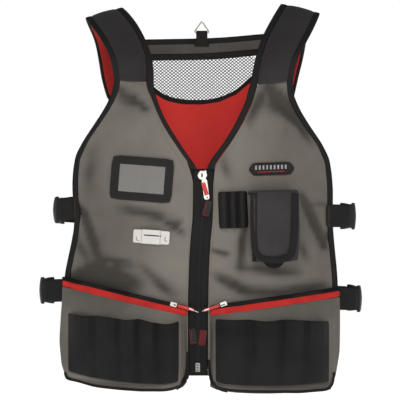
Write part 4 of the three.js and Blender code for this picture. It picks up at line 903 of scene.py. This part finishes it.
# Hard pieces: merged copies with rounded edges
def hardPiece(node, name, look, body="root", width=0.35, slimmer=0.0):
    bm = copyOf(node, 0, quads=False)
    bm.normal_update()
    for vert in bm.verts:
        vert.co -= vert.normal * slimmer * mm
    piece = finishMesh(bm, name, look, smooth=True)
    bevelled(piece, width * mm, 30)
    flat = piece.modifiers.new("flat", "WEIGHTED_NORMAL")
    flat.keep_sharp = False
    return dressWith(piece, body, node)


slider = hardPiece("zip_slider", "zipSlider", silver, slimmer=0.3)
sliderTop = fromPhoto(0, 171.5)[1]    # the round cap stands above it
for vert in slider.data.vertices:
    vert.co.z = min(vert.co.z, sliderTop)
hardPiece("zip_pull", "zipPull", silver, "pull")
hardPiece("zip_retainer", "zipRetainer", steelWire, width=0.3, slimmer=0.4)
hardPiece("tool_clip", "beltClip", silver, width=0.3)
hardPiece("id_frame", "windowFrame", framePlastic, width=0.8)
hardPiece("badge", "chestBadge", padCloth, width=0.7)
for side in sides:
    hardPiece(f"pocket_slider_{side}", f"pocketSlider_{side}", silver, width=0.5, slimmer=0.7)
    hardPiece(f"pocket_pull_{side}", f"pocketPull_{side}", redRubber, width=0.3, slimmer=0.45)
    hardPiece(f"pocket_tag_{side}", f"pocketTag_{side}", tagCloth[side], width=0.3)
hardPiece("zip_pull_tag", "pullTag", tagCloth["right"], "pull", width=0.3)
for node, look in {"hang_ring": steelWire, "id_window": windowFilm}.items():
    nodes[node].data.materials.clear()
    nodes[node].data.materials.append(look)
print("fittings made")

# Webbing, elastic, tabs, pouch
softTape("hang_tab", blackWebbing, fuller=0.5 * mm)
softTape("elastic_band", blackElastic, fuller=0.5 * mm)
softTape("pouch_body", toolCloth, fuller=0.6 * mm)
flap = hardPiece("pouch_flap", "pouchFlap", flapCloth, width=0.9, slimmer=-0.6)
for row in ("upper", "lower"):
    for side in sides:
        for end in ("front", "back"):
            softTape(f"strap_{end}_{row}_{side}", blackWebbing, fuller=0.4 * mm)
        softTape(f"buckle_{row}_{side}", blackPlastic, 2, fuller=0.8 * mm)
print("straps made")

# Sewn detail, placed by short pixel paths
def clothOf(side):
    return [f"frontCloth_{side}", f"pocketCloth_{side}", f"toolSleeves_{side}", f"paddedStrap_{side}",
            "neckBinding" + side.capitalize(), "sideBinding" + side.capitalize(), "yokeCloth"]


seams = {
    "padSeam_right": ([(121.5, 80.5), (148, 85.5)], blackThread),
    "padSeam_left": ([(257.5, 87.5), (286.5, 82.5)], blackThread),
    "neckSeam_right": ([(148.5, 92), (152, 104), (158, 120), (165, 136), (174, 152), (184, 166), (190.5, 174)],
                       greyThread),
    "neckSeam_left": ([(256.5, 92), (252, 104), (243.5, 128), (234, 144), (224, 157), (213.5, 170)], greyThread),
    "yokeSeam_right": ([(180, 46), (180, 53)], blackThread),
    "yokeSeam_left": ([(221, 44), (221, 52)], blackThread),
    "zipSeam_right": ([(191, 178), (190, 222), (188, 264), (186, 300)], greyThread),
    "zipSeam_left": ([(214.5, 178), (214, 222), (211, 262), (209, 300)], greyThread),
    "pocketSeam_right": ([(68, 292), (100, 299.5), (140, 309), (181, 318.5)], greyThread),
    "pocketSeam_left": ([(216, 317.5), (250, 312), (290, 306), (328, 302)], greyThread),
    "gussetSeam_right": ([(182.5, 322), (182.5, 350), (181, 380)], greyThread),
    "gussetSeam_left": ([(332, 306), (333, 340), (331, 384)], greyThread),
    "mouthSeam_right": ([(68, 320), (86, 322), (105, 320.5), (120, 325), (143, 324), (160, 327.5), (178, 326.5)],
                        blackThread),
    "mouthSeam_left": ([(216, 324), (240, 324), (265, 326), (290, 324.5), (318, 327), (328, 327)], blackThread),
    "footSeam_right": ([(70, 377), (100, 382.5), (140, 386), (176, 384)], blackThread),
    "footSeam_left": ([(218, 385), (250, 388), (290, 388), (326, 387)], blackThread),
}
for name, (corners, thread) in seams.items():
    stitches(name, corners, clothOf(name.split("_")[1]), thread)
print("seams sewn")

# Hem bindings round the foot of each pocket, up to the zip
hems = {
    "right": [(66, 372), (67, 378.5), (71, 380.4), (80, 382.3), (100, 385.6), (120, 387.8), (140, 389.2),
              (165, 389.2), (174, 387.6), (180, 384.2), (183.8, 379), (185.6, 373), (186.2, 366), (186.6, 352)],
    "left": [(333, 372), (332, 383), (328, 388.5), (300, 390.9), (250, 390.5), (230, 389.2), (221, 387.8),
             (215.5, 384.8), (212.4, 380), (211.2, 374), (210.3, 366), (209.9, 352)],
}
hem = {"width": 6.5, "thick": 3.0, "lift": -1.0}
hemCorner = {"width": 9.5, "thick": 3.2, "lift": -1.1, "taper": 0.3}
cornerPoints = 19    # how much of the path's end is the wider corner
for side, outward in (("right", 1), ("left", -1)):
    path = smoothPath(pathOn(hems[side], [f"pocketCloth_{side}"], spacing=2.0, rise=4))
    band(f"hemBand_{side}", path, look=blackTape, level=0.6 * outward, **hem)
    band(f"hemCorner_{side}", path[-cornerPoints:], look=blackTape, level=1.5 * outward, **hemCorner)
print("hems made")

# Chest pouch: the flap's bound edge, at the depth of the flap a little inside it
pouchEdge = [(254, 193), (253.6, 215), (253.8, 240), (255, 251), (259.5, 257.5), (267, 260), (280, 260),
             (289.6, 257.6), (293.2, 250), (294.3, 235), (295.2, 212), (295.4, 187)]
flapMiddle = (273, 226)
inward = (0.3, 0.12)
path = []
for (c0, r0), (c1, r1) in zip(pouchEdge, pouchEdge[1:]):
    for share in (0, 0.25, 0.5, 0.75):
        column, row = c0 + (c1 - c0) * share, r0 + (r1 - r0) * share
        point, normal = photoHit(column + inward[0] * (flapMiddle[0] - column),
                                 row + inward[1] * (flapMiddle[1] - row), ["pouchFlap"])
        start, way = sight(column, row)
        path.append((start + way * (point.y - start.y) / way.y, normal))
band("flapBinding", smoothPath(path), width=11.0, thick=3.4, look=blackTape, lift=-1.6)
stitches("flapStitches", [(256.4, 196), (256, 230), (257.4, 248), (262, 255.2), (275, 257.2), (285.5, 254),
                          (290, 247), (291.4, 212), (291.8, 196)], ["flapBinding", "pouchFlap"], blackThread)

# Main pull: its red insert, painted shade in its hole and eye, the slider's round cap, and the edges of the tags
strip("pullInsert", [(203, 182.8), (206.9, 195)], ["zipPull"], 1.0, width=7.0, thick=1.3, look=redRubber,
      body="pull", slot="red_trim")
strip("pullHoleShade", [(206.4, 197), (208.2, 198)], ["zipPull"], 0.6, width=1.8, thick=0.3, body="pull",
      lift=0.05, **shadeStrip)
cap = {"foot": 7.8 * mm, "top": 7.2 * mm, "height": 2.4 * mm, "sunk": 1.6 * mm, "round": 0.5 * mm}
point, normal = photoHit(202.3, 175.3, ["zipSlider", "zipPull"])
facingOut = normal.to_track_quat("Z", "Y").to_matrix().to_4x4()
bm = bmesh.new()
bmesh.ops.create_cone(bm, cap_ends=True, segments=32, radius1=cap["foot"], radius2=cap["top"], depth=cap["height"],
                      matrix=Matrix.Translation(point - normal * cap["sunk"]) @ facingOut)
dressWith(bevelled(finishMesh(bm, "sliderCap", silver, smooth=False), cap["round"]), "root")
strip("pullEyeShade", [(202, 173.6), (202, 177)], ["zipPull", "zipSlider"], 0.6, width=2.6, thick=0.3, body="pull",
      lift=0.05, **shadeStrip)
strip("pullTagEdge", [(206.4, 203), (203.2, 214.6), (208.4, 216.4)], ["pullTag"], 1.0, width=1.1, thick=0.5,
      look=darkRedEdge, body="pull", slot="red_trim")
tagEdges = {"right": [(191.6, 330.5), (190.8, 342.3), (195.8, 342.5)],
            "left": [(201.8, 331.5), (199.5, 343), (204.2, 344.8)]}
for side in sides:
    strip(f"pocketTagEdge_{side}", tagEdges[side], [f"pocketTag_{side}"], 1.0, width=1.2, thick=0.5,
          look=darkRedEdge, slot="red_trim")

# Neck bindings run on to the zip; pocket pulls end in a silver tip
feet = {"right": ([(191, 161), (192.3, 167), (193.6, 172)], 2.6),
        "left": ([(212.6, 160), (211, 166), (209.6, 171.5)], -3.2)}
tips = {"right": [(189, 308.4), (198.3, 312.4)], "left": [(209, 308.8), (202, 311.2)]}
eyes = {"right": [(173.6, 304.6), (177.6, 305.8)], "left": [(221, 305.6), (225, 304.2)]}
for side in sides:
    corners, level = feet[side]
    strip(f"neckFoot_{side}", corners, ["neckBinding" + side.capitalize()], 1.0, width=6.5, thick=1.0,
          look=blackTape, lift=-0.4, level=level)
    targets = [f"pocketPull_{side}", "zipTapeRight", "zipTapeLeft", "zipTeeth"]
    strip(f"pocketTip_{side}", tips[side], targets, 1.0, width=2.6, thick=0.8, look=silver, slot="bright_metal",
          lift=0.3, taper=0.4)
    # painted shade: a dark strip in the eye of each pocket slider
    strip(f"pocketEyeShade_{side}", eyes[side], [f"pocketSlider_{side}"], 0.8, width=1.7, thick=0.2, **shadeStrip)
# painted shade: dark strips in the grooves of the zip retainer
for number, row in enumerate((365.2, 367.8, 370.4)):
    strip(f"retainerGrooveShade_{number + 1}", [(194.6, row), (198.6, row)], ["zipRetainer"], 0.8, width=1.3, thick=0.2,
          **shadeStrip)

# Badge: raised rim, pale ribs and a thin red line
rim = [(253, 164.2), (288, 162.8), (292.4, 166), (292.2, 170), (288.5, 173), (254, 174.4), (250.4, 171.5),
       (250.3, 167)]
ribs = {"count": 9, "first": 256, "pitch": 3.7, "top": 165.6, "foot": 169.8, "climb": 0.12}
band("badgeRim", pathOn(rim, ["chestBadge"], closed=True, spacing=1.5), width=1.0, thick=0.5, look=blackTape)
for number in range(ribs["count"]):
    column, up = ribs["first"] + number * ribs["pitch"], number * ribs["climb"]
    strip(f"badgeRib_{number + 1}", [(column, ribs["top"] - up), (column, ribs["foot"] - up)], ["chestBadge"], 0.8,
          width=3.0, thick=0.5, look=paleThread)
strip("badgeLine", [(258, 172.2), (284, 171.2)], ["chestBadge"], 1.5, width=1.0, thick=0.5, look=redTape,
      slot="red_trim")

# Clip: painted shade in a pressed slot and at the hooks by the rivets
strip("clipSlotShade", [(144, 235.0), (161, 236.2)], ["beltClip"], 1.2, width=1.8, thick=0.3, **shadeStrip)
hooks = {"right": [(136.2, 236.5), (136.6, 240), (139, 240.6)],
         "left": [(165.4, 237), (164.6, 240.4), (167, 241.6)]}
for side in sides:
    strip(f"clipHookShade_{side}", hooks[side], ["beltClip"], 0.7, width=0.8, thick=0.25, **shadeStrip)
print("chest made")

# Painted highlight: a pale strip across the upper left buckle, where its two halves meet
strip("ridgeHighlightUpperLeft", [(342, 209), (341, 225)], ["buckleUpperLeft"], 1.5, width=1.6, thick=0.7, look=ridgeHighlight,
      slot="black_plastic")

# Stitches round the name window, and where the upper straps are sewn on
stitches("frameStitches", [(118.5, 158.2), (171, 162.4), (168.6, 199.4), (114.4, 194.8)], ["windowFrame"],
         blackThread, closed=True)
sewn = {"right": [(75, 198), (75, 218)], "left": [(329, 205), (329, 227)]}
for side in sides:
    stitches(f"strapSeam_upper_{side}", sewn[side], ["strapFrontUpper" + side.capitalize()] + clothOf(side),
             greyThread)
